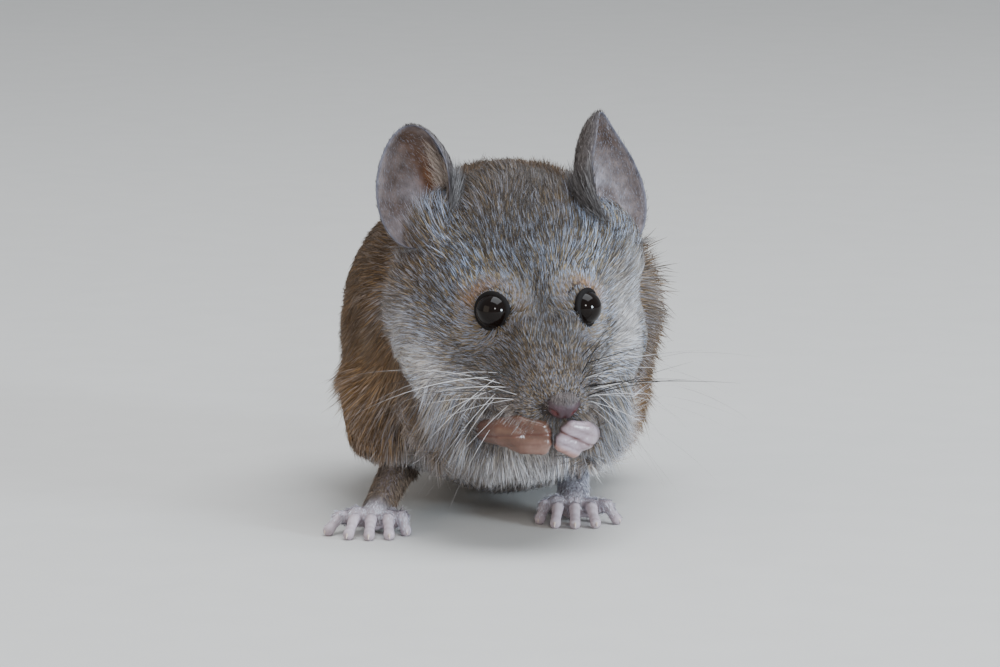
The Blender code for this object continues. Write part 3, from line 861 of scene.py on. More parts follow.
# %% Ear colours
# The orange-brown in the hollow of the cup is painted shade, warmed as by light through the thin ear.
EAR_INNER, EAR_PATCH, EAR_HOLLOW_SHADE = paint(118, 106, 103), paint(162, 160, 172), paint(100, 62, 32)
EAR_BACK, EAR_RIM, EAR_FRECKLE = paint(84, 75, 71), paint(98, 98, 110), paint(84, 66, 56)
EAR_STRIP = {"left": paint(140, 144, 152), "right": paint(70, 78, 98)}
EAR_DEEP = {  # middle of the brown hollow in the cup, forward and up, and its half sizes
    "left": ((0.2, 0.0), (0.3, 0.45)),
    "right": ((0.02, 0.05), (0.27, 0.85)),
}


def inside_colour(name, points, forward, high, rim):
    """The colour inside an ear, and how far each point lies in the hollow's painted shade."""
    (ahead, upward), (wide, tall) = EAR_DEEP[name]
    hollow = np.exp(-((forward + 0.35 * high - ahead) / wide) ** 2 - ((high - upward) / tall) ** 2)
    patch = np.exp(-((forward + 0.35) / 0.38) ** 2 - ((high + 0.2) / 0.5) ** 2)
    strip = soft_step(0.58, 0.8, forward + 0.25 * high) * soft_step(-0.6, 0.0, high)
    freckles = soft_step(0.1, 1.0, ripple(points, 2.2, 33)) * soft_step(1.0, 0.85, rim)
    colour = mix(mix(EAR_INNER, EAR_PATCH, 0.8 * patch), EAR_HOLLOW_SHADE, hollow * soft_step(0.98, 0.75, rim))
    colour = mix(colour, EAR_STRIP[name], strip)
    colour = mix(colour, EAR_RIM, soft_step(0.93, 1.0, rim))
    colour = mix(colour, EAR_FRECKLE, 0.7 * freckles)
    return colour * (1 + 0.25 * ripple(points, 0.7, 31))[:, None], hollow


ear_fields = {}
for name, side in SIDES.items():
    inner, forward, high, rim = ear_sheet(name, side, 1)
    outer = ear_sheet(name, side, -1)[0]
    flip = side > 0
    inside, hollow = inside_colour(name, inner, forward, high, rim)
    outside = mix(EAR_BACK, EAR_RIM, 0.7 * rim ** 8)
    faces = np.concatenate([ear_faces(0, flip), ear_faces(EAR_POINTS, not flip), ear_edge(flip)])
    add_flesh(np.r_[inner, outer], faces, np.r_[inside, outside], 0.15)
    ear_fields[name] = (inner, outer, forward, high, rim, hollow)
print("ear sheet points:", 2 * EAR_POINTS)

# %% [markdown]
# ## Tail
# The tail is bare but for fine hairs, and ringed with small scales. It is a loft of many rings along one
# smooth curve, each ring flaring a little over the next.

# %% A smooth curve through a route
TAIL_ROUTE = [(-1.8, 57.3), (-2.2, 66.0), (0.5, 80.0), (4.0, 94.0), (5.0, 107.0), (2.5, 119.0), (-2.0, 129.0)]
TAIL_LENGTH, TAIL_ROOT_RADIUS, TAIL_TIP_RADIUS = 74.0, 1.9, 0.42
TAIL_RING, TAIL_SIDES = 0.82, 20
TAIL_TOP, TAIL_UNDER = paint(96, 84, 82), paint(176, 158, 152)


def smooth_curve(route, count):
    """Points at small steps on a smooth curve through the route, and the run up to each."""
    route = np.array(route, float)
    chord = np.r_[0.0, np.cumsum(np.linalg.norm(np.diff(route, axis=0), axis=1))]
    slope = np.gradient(route, chord, axis=0)
    s = np.linspace(0.0, chord[-1], count)
    i = np.clip(np.searchsorted(chord, s) - 1, 0, len(chord) - 2)
    step = (chord[i + 1] - chord[i])[:, None]
    t = (s[:, None] - chord[i][:, None]) / step
    points = ((2 * t**3 - 3 * t**2 + 1) * route[i] + (t**3 - 2 * t**2 + t) * step * slope[i]
              + (3 * t**2 - 2 * t**3) * route[i + 1] + (t**3 - t**2) * step * slope[i + 1])
    return points, np.r_[0.0, np.cumsum(np.linalg.norm(np.diff(points, axis=0), axis=1))]


path, run = smooth_curve(TAIL_ROUTE, 600)
print("tail route, mm:", round(float(run[-1]), 1))

# %% Tail
tail_end = min(TAIL_LENGTH, run[-1])
steps = np.arange(-2.4, tail_end, TAIL_RING / 4)
share = np.clip(steps / tail_end, 0, 1)
radius = TAIL_ROOT_RADIUS * (1 - share) ** 0.85 + TAIL_TIP_RADIUS * share
radius = radius * np.sqrt(np.clip((tail_end - steps) / 0.8, 0.01, 1))
flare = 1 - 0.07 * ((steps / TAIL_RING) % 1.0)
tail_x = np.interp(steps, run, path[:, 0])
tail_y = np.interp(steps, run, path[:, 1]) + np.minimum(steps, 0)
heading = unit(np.c_[np.gradient(tail_x), np.gradient(tail_y)])
turn = np.linspace(0, 2 * math.pi, TAIL_SIDES, endpoint=False)
across = (radius * 0.99 * flare)[:, None] * np.cos(turn)
above = (radius * 0.99 * flare)[:, None] * np.sin(turn)
tail_points = np.stack([tail_x[:, None] - heading[:, 1:] * across,
                        tail_y[:, None] + heading[:, :1] * across,
                        (radius - 0.04)[:, None] + above], axis=-1).reshape(-1, 3)
tail_points[:, 2] = np.maximum(tail_points[:, 2], 0.015)
tail_faces = ring_faces(len(steps), TAIL_SIDES)[:, [0, 3, 2, 1]]
upper = np.tile(0.5 + 0.5 * np.sin(turn), len(steps))
seam = np.repeat(((steps / TAIL_RING) % 1.0 > 0.72), TAIL_SIDES)
tail_colour = mix(TAIL_UNDER, TAIL_TOP, soft_step(0.15, 0.8, upper)) * np.where(seam, 0.62, 1.0)[:, None]
add_flesh(tail_points, tail_faces, tail_colour, 0.1)
print("tail length, mm:", round(float(tail_end), 1))

# %% [markdown]
# ## Markings
# A wild mouse is agouti: each hair is slate at the root, with a tan or silver band and a dark or pale tip.
# The head is greyer, the back and flanks browner, the cheeks, throat and belly paler, and a tan ring
# circles each eye. The marks also paint light and shade into the colour: the right jaw, the chest below
# it, the left cheek's rim and the left shoulder are painted darker as shade, and both cheeks, the sides
# of the head, the underside, the lower flanks and the left heel lighter as light. Skin and coat read the
# same marks, so that no bare gap shows between the hairs.


# %% Regions of the head
def head_regions(points):
    """Soft regions of the head, 1 inside and 0 outside. left is the animal's own left."""
    h = in_head(points)
    head = head_share(points)
    wide = np.abs(h[:, 0])
    left_rim = soft_step(11.0, 12.6, h[:, 0]) * soft_step(-5, -1, h[:, 2])
    right_rim = 0.7 * soft_step(-10.8, -12.2, h[:, 0]) * soft_step(-9, -5, h[:, 2])
    lip = head * np.exp(-((h[:, 1] - 2.0) / 1.8) ** 2) * soft_step(-1.6, -2.8, h[:, 2])
    pad = head * np.exp(-((wide - 3.2) / 1.5) ** 2 - ((h[:, 1] - 3.0) / 2.0) ** 2)
    return SimpleNamespace(
        all=head,
        left=h[:, 0] > 0,
        middle=np.exp(-(h[:, 0] / 4.5) ** 2),
        mask=head * np.exp(-((h[:, 1] - 8) / 4) ** 2) * soft_step(-4, -2, h[:, 2]),
        # Painted shade: the right jaw is painted darker, browner and less pale.
        shaded_jaw=head * soft_step(-4.5, -8.0, h[:, 2]) * soft_step(3, -2, h[:, 0]),
        beside_crown=head * soft_step(3, 6, wide) * soft_step(2, 5, h[:, 2]) * soft_step(10, 14, h[:, 1]),
        cheek=head * soft_step(1, -4.5, h[:, 2]) * soft_step(3, 8, h[:, 1]) * soft_step(21, 15, h[:, 1]),
        # Painted light: the left cheek is painted paler where the lamp falls on it.
        lit_left_cheek=head * soft_step(3.5, 9, h[:, 0]) * soft_step(6, 0, h[:, 2]) * soft_step(20, 14, h[:, 1]),
        # The brown outer rim of the cheeks; on the left it is also painted darker as shade.
        edge=head * soft_step(7, 12, h[:, 1]) * np.maximum(left_rim, right_rim),
        lip=lip,
        pad=pad * soft_step(-0.6, -1.8, h[:, 2]),
        crown=head * soft_step(10, 20, h[:, 1]) * soft_step(2.0, 7.0, h[:, 2]),
        muzzle=head * soft_step(9, 2, h[:, 1]) * (1 - lip),
        brow_brown=0.12 + 0.5 * soft_step(12, 21, h[:, 1]) + 0.3 * soft_step(9, 2, h[:, 1]),
        side_light=0.3 * soft_step(2, 8, h[:, 0]) + 0.5 * soft_step(-4, -9, h[:, 0]),
        beyond_eyes=soft_step(-1.5, 1.0, wide - EYE_CENTRE[0]))


# %% Regions of the body
def body_regions(points, normals):
    """Soft regions of the body, as those of the head."""
    x, y, z = points.T
    body = 1 - head_share(points)
    # The underside: paler in its own colour, and painted lighter as light in marks().
    under = soft_step(-0.2, -0.8, normals[:, 2]) * body * soft_step(16, 9, z)
    # The chest: pale in its own colour, and painted a little lighter in marks().
    chest = body * soft_step(22, 16, y) * soft_step(19, 13, z) * soft_step(12.5, 8.5, np.abs(x))
    left_heel = 1 - soft_step(5.0, 13.0, far_from(points, HEELS["left"]))
    return SimpleNamespace(
        all=body,
        under=under,
        chest=chest,
        # Painted shade: the chest below the right jaw is painted darker and less pale.
        shaded_low_right=body * soft_step(0, -5, x) * soft_step(22, 17, y) * soft_step(16, 12, z),
        # Painted light: the coat by the left heel is painted paler and lighter.
        shoulder=body * soft_step(4, 9, x) * soft_step(30, 20, y) * soft_step(24, 16, z),
        lit_pale_leg=left_heel * soft_step(30, 25, y) * soft_step(10.0, 6.0, z),
        nape=body * soft_step(44, 24, y) * soft_step(20, 27, z),
        # Painted shade: the left shoulder behind the cheek is painted darker.
        shaded_fringe=fringe(points) * soft_step(14, 20, z) * soft_step(34, 26, y),
        # Painted light: the lower flanks are painted lighter, most of all ahead of the hips.
        lit_low_flank=body * soft_step(18, 9, z) * soft_step(3, 8, z) * (1 - chest) * (1 - under))


# %% The markings
def marks(points, normals):
    """How brown, pale and tan the coat is, how much it belongs to the head, and how light or dark it is,
    painted light and shade included.
    """
    face, body = head_regions(points), body_regions(points, normals)
    y = points[:, 1]
    pale = np.clip(np.maximum(np.maximum(0.8 * body.under, 0.55 * face.cheek), body.chest), 0, 1)
    for region in (0.5 * near_arm(points), 0.75 * body.shoulder, 0.9 * body.lit_pale_leg, 0.65 * face.lit_left_cheek,
                   face.lip, 0.45 * face.pad):
        pale = np.maximum(pale, region)
    # Painted shade takes the pale out of the right jaw and the chest below it.
    pale = pale * (1 - face.edge) * (1 - 0.75 * face.shaded_jaw) * (1 - 0.75 * body.shaded_low_right)

    brown = body.all * (0.85 + 0.15 * soft_step(20, 34, y)) + face.all * face.brow_brown
    brown = brown + 0.25 * face.mask + 0.5 * face.shaded_jaw - 0.35 * face.beside_crown
    brown = np.maximum(brown, face.edge) * (1 - 0.8 * pale) * (1 - 0.7 * soft_step(51, 56, y))

    tan = np.exp(-((near_eye(points) - 2.3) / 0.45) ** 2) * (0.3 + 0.6 * face.beyond_eyes)
    tan = np.maximum(tan, 0.35 * face.pad)

    # Own tones darken the crown, nape, muzzle and the mask between the eyes; painted shade darkens the right
    # jaw, the chest below it, the left cheek's rim and the left shoulder.
    shade = 1 - (0.12 + 0.3 * face.middle) * face.crown - 0.3 * body.nape
    for darker in (0.22 * face.muzzle, 0.4 * face.mask * face.middle, 0.36 * face.shaded_jaw,
                   0.45 * face.edge * face.left, 0.22 * body.shaded_low_right, 0.5 * body.shaded_fringe):
        shade = shade * (1 - darker)
    # Painted light: the sides of the head, the right cheek, the chest, the underside, the left heel and the
    # lower flanks are painted lighter; the sides of the crown are a lighter tone of their own.
    ahead_of_hips = soft_step(38, 26, y)
    for lighter in (face.all * face.side_light, 0.32 * face.beside_crown, 0.2 * face.cheek * ~face.left,
                    0.15 * body.chest, 0.3 * body.lit_pale_leg, 0.8 * body.under,
                    (0.15 + 0.6 * ahead_of_hips) * body.lit_low_flank):
        shade = shade * (1 + lighter)
    return np.stack([brown, pale, tan, face.all, shade], axis=1)


# %% The skin under the coat
SLATE = paint(46, 44, 48)
SKIN_BROWN, SKIN_PALE = paint(74, 60, 48), paint(120, 116, 114)
normals = normals_of(surface, quads)
skin_marks = marks(surface, normals)
under_coat = mix(mix(SLATE, SKIN_BROWN, 0.7 * skin_marks[:, 0]), SKIN_PALE, 0.8 * skin_marks[:, 1])
under_coat = mix(under_coat, paint(110, 84, 62), 0.6 * skin_marks[:, 2])
# The marks' shade, painted light and shade among it, darkens or lightens the skin too.
under_coat = under_coat * (skin_marks[:, 4] * (1 + 0.2 * ripple(surface, 1.2, 41)))[:, None]
lids = 1 - soft_step(1.85, 2.3, near_eye(surface))
under_coat = mix(under_coat, LID_BLACK, lids)
under_coat = mix(under_coat, TAIL_TOP, soft_step(55.5, 57.0, surface[:, 1]))
add_flesh(surface, quads, under_coat)
print("mean brown, pale, tan, head and shade:", skin_marks.mean(axis=0).round(2))

# %% [markdown]
# ## One skin
# Skin has no seams, so every stretch gathered so far becomes one mesh. Its colour and dampness are kept at
# its points, and one material reads them: dry skin is matt, and lids, nose and paws have a damp gleam.
# Pores and creases are far too fine to model, so they are bump.


# %% Skin material
def skin_material():
    """Painted point by point, with fine pores and creases as bump."""
    material, nodes, links, shader = new_material("mouse_skin")
    tint, damp = stored(nodes, "tint"), stored(nodes, "damp")
    place = nodes.new("ShaderNodeTexCoord")
    pores = noise(nodes, 2600.0, detail=4.0)
    creases = nodes.new("ShaderNodeTexVoronoi")
    creases.feature = "DISTANCE_TO_EDGE"
    creases.inputs["Scale"].default_value = 2400.0
    for texture in (pores, creases):
        links.new(place.outputs["Object"], texture.inputs["Vector"])

    vary, shade = ranged(nodes, 0.78, 1.18), scaled_colour(nodes)
    links.new(pores.outputs["Fac"], vary.inputs["Value"])
    links.new(tint.outputs["Color"], shade.inputs[0])
    links.new(vary.outputs["Result"], shade.inputs["Scale"])
    links.new(shade.outputs["Vector"], shader.inputs["Base Color"])

    gloss, gleam = ranged(nodes, 0.72, 0.26), ranged(nodes, 0.15, 0.5)
    for node, socket in ((gloss, "Roughness"), (gleam, "Specular IOR Level")):
        links.new(damp.outputs["Fac"], node.inputs["Value"])
        links.new(node.outputs["Result"], shader.inputs[socket])

    pits, folds = nodes.new("ShaderNodeBump"), nodes.new("ShaderNodeBump")
    pits.inputs["Strength"].default_value = 0.35
    pits.inputs["Distance"].default_value = 0.04 * MM
    folds.inputs["Strength"].default_value = 0.5
    folds.inputs["Distance"].default_value = 0.06 * MM
    links.new(pores.outputs["Fac"], pits.inputs["Height"])
    links.new(creases.outputs["Distance"], folds.inputs["Height"])
    links.new(pits.outputs["Normal"], folds.inputs["Normal"])
    links.new(folds.outputs["Normal"], shader.inputs["Normal"])
    return material


# %% Join the skin
starts = np.cumsum([0] + [len(points) for points, *_ in flesh])
skin_mesh = mesh_from("skin", np.concatenate([points for points, *_ in flesh]),
                      *(faces + start for (_, faces, _, _), start in zip(flesh, starts)))
store(skin_mesh, "tint", np.clip(np.concatenate([colour for _, _, colour, _ in flesh]), 0, 1))
store(skin_mesh, "damp", np.concatenate([damp for *_, damp in flesh]))
BARE = ["nose", "ear_left", "ear_right", "forepaw_left", "forepaw_right", "hindfoot_left", "hindfoot_right",
        "tail_base", "tail_middle", "tail_tip"]
skin = show("skin", skin_mesh, skin_material(), "paw_skin", *FURRED, *BARE)
print("skin points:", len(skin_mesh.vertices))

# %% [markdown]
# ## The lie of the coat
# Hair doesn't grow straight out: it lies like grass in a stream, from the nose over the brow, round the
# eyes, down the cheeks and back along the body. A few combing guides give that way at chosen spots, and
# every point of the skin takes a blend of the nearest.

# %% Combing guides of the head
HEAD_COMB = [  # place on the head and the way the hair lies, for the left half; the right mirrors it
    ((0.3, 1.8, 0.4), (0.15, 0.9, 0.6)),
    ((0.5, 4.5, 1.8), (0.08, 1.0, 0.5)),
    ((0.5, 9.0, 4.5), (0.05, 1.0, 0.5)),
    ((0.5, 15.0, 7.0), (0.05, 1.0, 0.35)),
    ((0.8, 22.0, 9.0), (0.05, 1.0, 0.15)),
    ((2.6, 3.0, -0.6), (0.75, 0.8, 0.25)),
    ((3.2, 5.5, 0.6), (0.45, 0.95, 0.35)),
    ((2.8, 3.0, -2.4), (0.95, 0.6, -0.35)),
    ((1.2, 1.8, -2.6), (0.6, 0.4, -0.8)),
    ((4.2, 6.0, -2.5), (0.8, 0.9, -0.25)),
    ((3.0, 9.0, 4.8), (0.25, 1.0, 0.45)),
    ((5.8, 12.5, 5.2), (0.5, 1.0, 0.3)),
    ((7.0, 10.0, 0.5), (0.7, 1.0, -0.1)),
    ((6.2, 8.5, -2.8), (0.75, 0.9, -0.45)),
    ((9.5, 14.0, 1.0), (0.5, 1.0, 0.0)),
    ((9.0, 14.0, -4.0), (0.6, 0.8, -0.6)),
    ((11.0, 19.0, -3.0), (0.45, 0.9, -0.5)),
    ((7.0, 18.0, 7.0), (0.35, 1.0, 0.5)),
    ((11.0, 20.0, 4.0), (0.4, 1.0, 0.0)),
    ((0.0, 4.5, -5.0), (0.0, 0.9, -0.5)),
    ((3.0, 8.0, -6.0), (0.35, 0.25, -0.9)),
    ((6.5, 11.0, -7.0), (0.45, 0.35, -0.85)),
    ((0.0, 11.0, -8.0), (0.0, 0.5, -0.9)),
]
print("guides on half the head:", len(HEAD_COMB))

# %% Combing guides of the body
BODY_COMB = [  # the same for the body
    ((0.0, 26.0, 31.5), (0.0, 1.0, 0.05)),
    ((0.0, 36.0, 30.0), (0.0, 1.0, -0.1)),
    ((0.0, 46.0, 24.0), (0.0, 0.9, -0.5)),
    ((0.0, 54.0, 12.0), (0.0, 0.6, -0.9)),
    ((0.0, 55.0, 5.0), (0.0, 1.0, -0.15)),
    ((11.0, 22.0, 27.0), (0.5, 0.9, -0.1)),
    ((14.0, 22.0, 20.0), (0.5, 0.7, -0.6)),
    ((14.0, 32.0, 22.0), (0.25, 0.9, -0.4)),
    ((15.0, 40.0, 14.0), (0.15, 0.9, -0.5)),
    ((11.0, 49.0, 10.0), (-0.2, 0.9, -0.5)),
    ((14.0, 30.0, 8.0), (0.1, 0.8, -0.7)),
    ((12.0, 20.0, 12.0), (0.35, 0.45, -0.9)),
    ((5.0, 13.5, 12.0), (0.15, 0.2, -1.0)),
    ((0.0, 13.0, 13.0), (0.0, 0.15, -1.0)),
    ((0.0, 15.0, 7.0), (0.0, 0.5, -1.0)),
    ((5.0, 17.0, 4.5), (0.1, 0.6, -0.9)),
    ((8.0, 24.0, 3.0), (0.15, 0.9, -0.4)),
    ((0.0, 28.0, 1.5), (0.0, 1.0, -0.05)),
    ((0.0, 42.0, 2.0), (0.0, 1.0, 0.1)),
]
print("guides on half the body:", len(BODY_COMB))


# %% Both halves of the guides, and the forelegs
def guides():
    """The place and the way of every guide, on the whole animal."""
    spots, ways = [], []
    for side in (1, -1):
        for place, way in HEAD_COMB:
            spots.append(from_head(on_side(place, side)))
            ways.append(HEAD_TURN @ on_side(way, side))
        for place, way in BODY_COMB:
            spots.append(on_side(place, side))
            ways.append(on_side(way, side))
    for name, side in SIDES.items():
        _, elbow, wrist = (np.array(p) for p in FORELEGS[name])
        for share, way in ((0.0, (0.4 * side, 0.3, -0.9)), (0.45, (0.3 * side, 0.0, -0.9))):
            spots.append(elbow + (wrist - elbow) * share)
            ways.append(np.array(way))
        spots.append(wrist)
        ways.append(wrist - elbow + np.array((0, 0, -1.5)))
    return np.array(spots), unit(np.array(ways))


# %% The flow
def combed(points, normals):
    """The way the hair lies at each point, along the skin."""
    spots, ways = guides()
    way = np.zeros_like(points)
    for spot, guide in zip(spots, ways):
        way += guide / ((far_from(points, spot) ** 2 + 2.0) ** 2)[:, None]
    way = unit(way)
    for centre in EYES.values():
        arm = unit(points - centre)
        near = 1 - soft_step(2.0, 5.0, far_from(points, centre))
        inward = np.minimum((way * arm).sum(axis=1), 0)
        way = way - arm * (inward * near)[:, None] + arm * (0.5 * near)[:, None]
    for name in EARS:
        bottom, tip = (np.array(v) for v in EARS[name][:2])
        near = 1 - soft_step(1.5, 5.0, far_from_limb(points, (bottom, tip)))
        way = way + unit(tip - bottom) * (0.9 * near)[:, None]
    way = way - normals * (way * normals).sum(axis=1, keepdims=True)
    return unit(way)


flow = combed(surface, normals)
print("combing guides:", len(guides()[0]))


# %% How the skin bends along the flow
def bend_of_skin(points, faces, normals, flow):
    """How sharply the skin curves away along the flow, for each millimetre."""
    a, b = faces.ravel(), np.roll(faces, -1, axis=1).ravel()
    edge = points[b] - points[a]
    length = np.maximum(np.linalg.norm(edge, axis=1), 1e-6)
    turn = ((normals[b] - normals[a]) * edge).sum(axis=1) / length ** 2
    weight = ((edge / length[:, None]) * flow[a]).sum(axis=1) ** 4 + 1e-4
    bend = np.bincount(a, turn * weight, len(points)) / np.maximum(np.bincount(a, weight, len(points)), 1e-9)
    neighbours = np.maximum(np.bincount(a, minlength=len(points)), 1)
    for _ in range(6):
        bend = (bend + np.bincount(a, bend[b], len(points)) / neighbours) / 2
    return np.clip(bend, -0.04, 0.3)


bend = bend_of_skin(surface, quads, normals, flow)
print("skin bend, for each mm:", np.round(np.percentile(bend, (5, 50, 95)), 3))

# %% [markdown]
# ## Roots and blades
# A hair here is a thin blade of three levels: narrow at the root, widest past the middle and pointed at the
# tip. Roots are scattered over the skin's faces by area, and each takes the flow, depth and markings of
# the skin under it. A blade bends with the skin, so it hugs round forms, and it leans into the middle of
# its tuft, so that tufts part and overlap as real fur does.

# %% Scatter the roots
rng = np.random.default_rng(20)


def scatter(points, faces, density):
    """Picks a triangle and a place in it for each hair. density is in hairs for each square millimetre."""
    triangles = np.concatenate([faces[:, [0, 1, 2]], faces[:, [0, 2, 3]]])
    corner = points[triangles]
    area = np.linalg.norm(np.cross(corner[:, 1] - corner[:, 0], corner[:, 2] - corner[:, 0]), axis=1) / 2
    run = np.cumsum(area * density[triangles].mean(axis=1))
    count = int(run[-1])
    pick = np.searchsorted(run, (np.arange(count) + rng.random(count)) * run[-1] / count)
    a, b = rng.random((2, count))
    over = a + b > 1
    a, b = np.where(over, 1 - a, a), np.where(over, 1 - b, b)
    return triangles[np.minimum(pick, len(triangles) - 1)], np.c_[1 - a - b, a, b]


def sampled(field, place):
    """A field of the skin's points, read at the places that scatter() picked."""
    corners, weights = place
    values = field[corners]
    return (values * (weights if values.ndim == 2 else weights[..., None])).sum(axis=1)


# %% The middle line of a hair
LEVELS = np.array((0.0, 0.58, 1.0))


def spines(root, normal, flow, bend, height, length):
    """The middle line of each hair: it bends with the skin while it rises to its height above it."""
    x = length[:, None] * LEVELS
    k = np.where(np.abs(bend) < 1e-3, 1e-3, bend)[:, None]
    rise = height[:, None] * (1 - (1 - LEVELS) ** 1.7)
    along = np.sin(k * x) / k + np.sin(k * x) * rise
    up = -(1 - np.cos(k * x)) / k + np.cos(k * x) * rise - 0.04
    return root[:, None] + flow[:, None] * along[..., None] + normal[:, None] * up[..., None]


# %% Turns and tufts
def turned(flow, normal, angle):
    """Each direction turned in the skin by its own angle."""
    return flow * np.cos(angle)[:, None] + np.cross(normal, flow) * np.sin(angle)[:, None]


def tufted(spine, root, share, pull):
    """Leans each hair towards the leader of its tuft. share says how many of the hairs are leaders."""
    leaders = np.flatnonzero(rng.random(len(root)) < share)
    tree = KDTree(len(leaders))
    for k, leader in enumerate(leaders):
        tree.insert(root[leader], k)
    tree.balance()
    mine = leaders[[tree.find(spot)[1] for spot in root]]
    return spine + (spine[mine] - spine) * (pull[:, None] * LEVELS ** 1.4)[..., None]


# %% A patch of the map for each hair
PATCH = 0.003


def unwrap(points):
    """The skin laid flat: how far back a point is, and its turn about a line through the body."""
    middle_x = np.interp(points[:, 1], [0, 20, 57], [4.5, 0.5, -1.5])
    middle_z = np.interp(points[:, 1], [0, 12, 30, 45, 57], [13.5, 17, 17, 12, 4])
    return points[:, 1], np.arctan2(points[:, 2] - middle_z, points[:, 0] - middle_x)


def cells(root):
    """Gives each hair a patch of its own on the unwrap, in the order in which the roots lie there."""
    back, turn = unwrap(root)
    side = int(math.ceil(math.sqrt(len(root))))
    row = np.empty(len(root), int)
    row[np.argsort(back, kind="stable")] = np.arange(len(root)) // side
    order = np.lexsort((turn, row))
    column = np.empty(len(root), int)
    column[order] = np.arange(len(root)) - row[order] * side
    return np.c_[column, row] / side


def map_patches(mesh, spots):
    """Gives a mesh its map, from a spot on it for each point."""
    corners = np.empty(len(mesh.loops), np.int32)
    mesh.loops.foreach_get("vertex_index", corners)
    mesh.uv_layers.new(name="OFBake").data.foreach_set("uv", spots[corners].astype(np.float32).ravel())


# %% Blades
SWELL = np.array((0.75, 1.0, 0.0))


def blades(name, spine, across, width, colour, material, slot):
    """Builds a piece of coat from the middle lines, width directions, widths and colours of its hairs."""
    count, levels = spine.shape[:2]
    half = (across * width[:, None] / 2)[:, None] * SWELL[:-1, None]
    pairs = np.stack([spine[:, :-1] - half, spine[:, :-1] + half], axis=2).reshape(count, -1, 3)
    points = np.concatenate([pairs, spine[:, -1:]], axis=1)
    points[..., 2] = np.maximum(points[..., 2], 0.01)
    each = points.shape[1]
    start = (np.arange(count) * each)[:, None]
    quad = np.concatenate([start + np.array((2 * k, 2 * k + 1, 2 * k + 3, 2 * k + 2))
                           for k in range(levels - 2)])
    tip = start + np.array((each - 3, each - 2, each - 1))
    mesh = mesh_from(name, points.reshape(-1, 3), quad, tip)
    tint = np.concatenate([np.repeat(colour[:, :-1], 2, axis=1), colour[:, -1:]], axis=1)
    store(mesh, "tint", np.clip(tint.reshape(-1, 3), 0, 1))
    u = np.r_[np.tile([0.0, PATCH], levels - 1), PATCH / 2]
    v = np.r_[np.repeat(LEVELS[:-1], 2), 1.0] * PATCH
    spots = (cells(spine[:, 0])[:, None] + np.stack([u, v], axis=1)).reshape(-1, 2)
    map_patches(mesh, spots)
    show(name, mesh, material, slot)
    print(f"{name}: {count} hairs, {len(mesh.loops) - 2 * len(mesh.polygons)} triangles")


# %% [markdown]
# ## How hair takes the light
# Seen close, a mouse's hair is satin: soft along its length with a narrow cool sheen. Colour is stored on
# the hairs themselves, root to tip, and a fine noise breaks it up so that no two are quite alike.


# %% Hair material
def hair_material(name, roughness, gleam, sheen):
    material, nodes, links, shader = new_material(name)
    tint, place, fleck = stored(nodes, "tint"), nodes.new("ShaderNodeTexCoord"), noise(nodes, 1800.0)
    vary, shade = ranged(nodes, 0.72, 1.28), scaled_colour(nodes)
    gloss = ranged(nodes, roughness - 0.1, roughness + 0.1)
    links.new(place.outputs["Object"], fleck.inputs["Vector"])
    links.new(fleck.outputs["Fac"], vary.inputs["Value"])
    links.new(fleck.outputs["Fac"], gloss.inputs["Value"])
    links.new(tint.outputs["Color"], shade.inputs[0])
    links.new(vary.outputs["Result"], shade.inputs["Scale"])
    links.new(shade.outputs["Vector"], shader.inputs["Base Color"])
    links.new(gloss.outputs["Result"], shader.inputs["Roughness"])
    shader.inputs["Specular IOR Level"].default_value = gleam
    shader.inputs["Sheen Weight"].default_value = sheen
    shader.inputs["Sheen Roughness"].default_value = 0.4
    return material


# %% [markdown]
# ## The measures of the coat
# Hair is shortest on the muzzle and round the eyes, and longest on the back, the jowls and behind the
# cheek. It stands up at the crown and round the ears. Each measure is a field over the skin, and each hair
# reads it at its own root.


# %% Length and stand of the hair
def near_ear(points):
    reach = np.min([far_from_limb(points, ear[:2]) for ear in EARS.values()], axis=0)
    return 1 - soft_step(2.5, 5.0, reach)


def coat_length(points):
    h, head = in_head(points), head_share(points)
    on_head = np.interp(h[:, 1], [0.0, 2.0, 5.0, 9.0, 14.0, 22.0], [0.4, 0.65, 1.05, 1.5, 2.1, 3.0])
    length = on_head + (4.4 - on_head) * (1 - head)
    jowl = head * soft_step(-3.5, -6.5, h[:, 2]) * soft_step(3.0, 8.0, h[:, 1])
    right_jowl = head * soft_step(-8.0, -10.0, h[:, 0]) * soft_step(1.0, -3.0, h[:, 2])
    jowl = np.maximum(jowl, 0.8 * right_jowl)
    long_hairs = fringe(points) * soft_step(13.0, 20.0, points[:, 2])
    length = length + 1.6 * jowl + 1.4 * long_hairs + 1.0 * near_ear(points)
    length = length + (1.7 - length) * near_arm(points)
    length = length + (0.9 - length) * (1 - soft_step(2.0, 4.4, near_eye(points)))
    feet = np.min([far_from(points, heel) for heel in HEELS.values()], axis=0)
    length = length + (2.4 - length) * (1 - soft_step(3.0, 8.0, feet))
    return length + (1.4 - length) * soft_step(51.0, 57.0, points[:, 1])


def coat_stand(points):
    """How near the tips come to the full depth of the coat: over 1 where the fur stands up."""
    h = in_head(points)
    crown = head_share(points) * soft_step(15.0, 21.0, h[:, 1]) * soft_step(3.0, 7.0, h[:, 2])
    return 0.85 + 0.2 * crown + 0.15 * fringe(points) + 0.5 * near_ear(points)


def bare_skin(points):
    """1 where no hair grows: in the opening of an eye and on the nose pad."""
    bare = (np.linalg.norm((in_head(points) - NOSE_CENTRE) / (NOSE_RADII + 0.1), axis=1) < 1.0).astype(float)
    for name, side in SIDES.items():
        arm = points - EYES[name]
        near = np.linalg.norm(arm, axis=1) < EYE_RADIUS + 1.0
        bare = np.maximum(bare, near & (unit(arm) @ eye_frame(side)[0] > math.cos(math.radians(88))))
    return np.maximum(bare, points[:, 1] > 57.4)


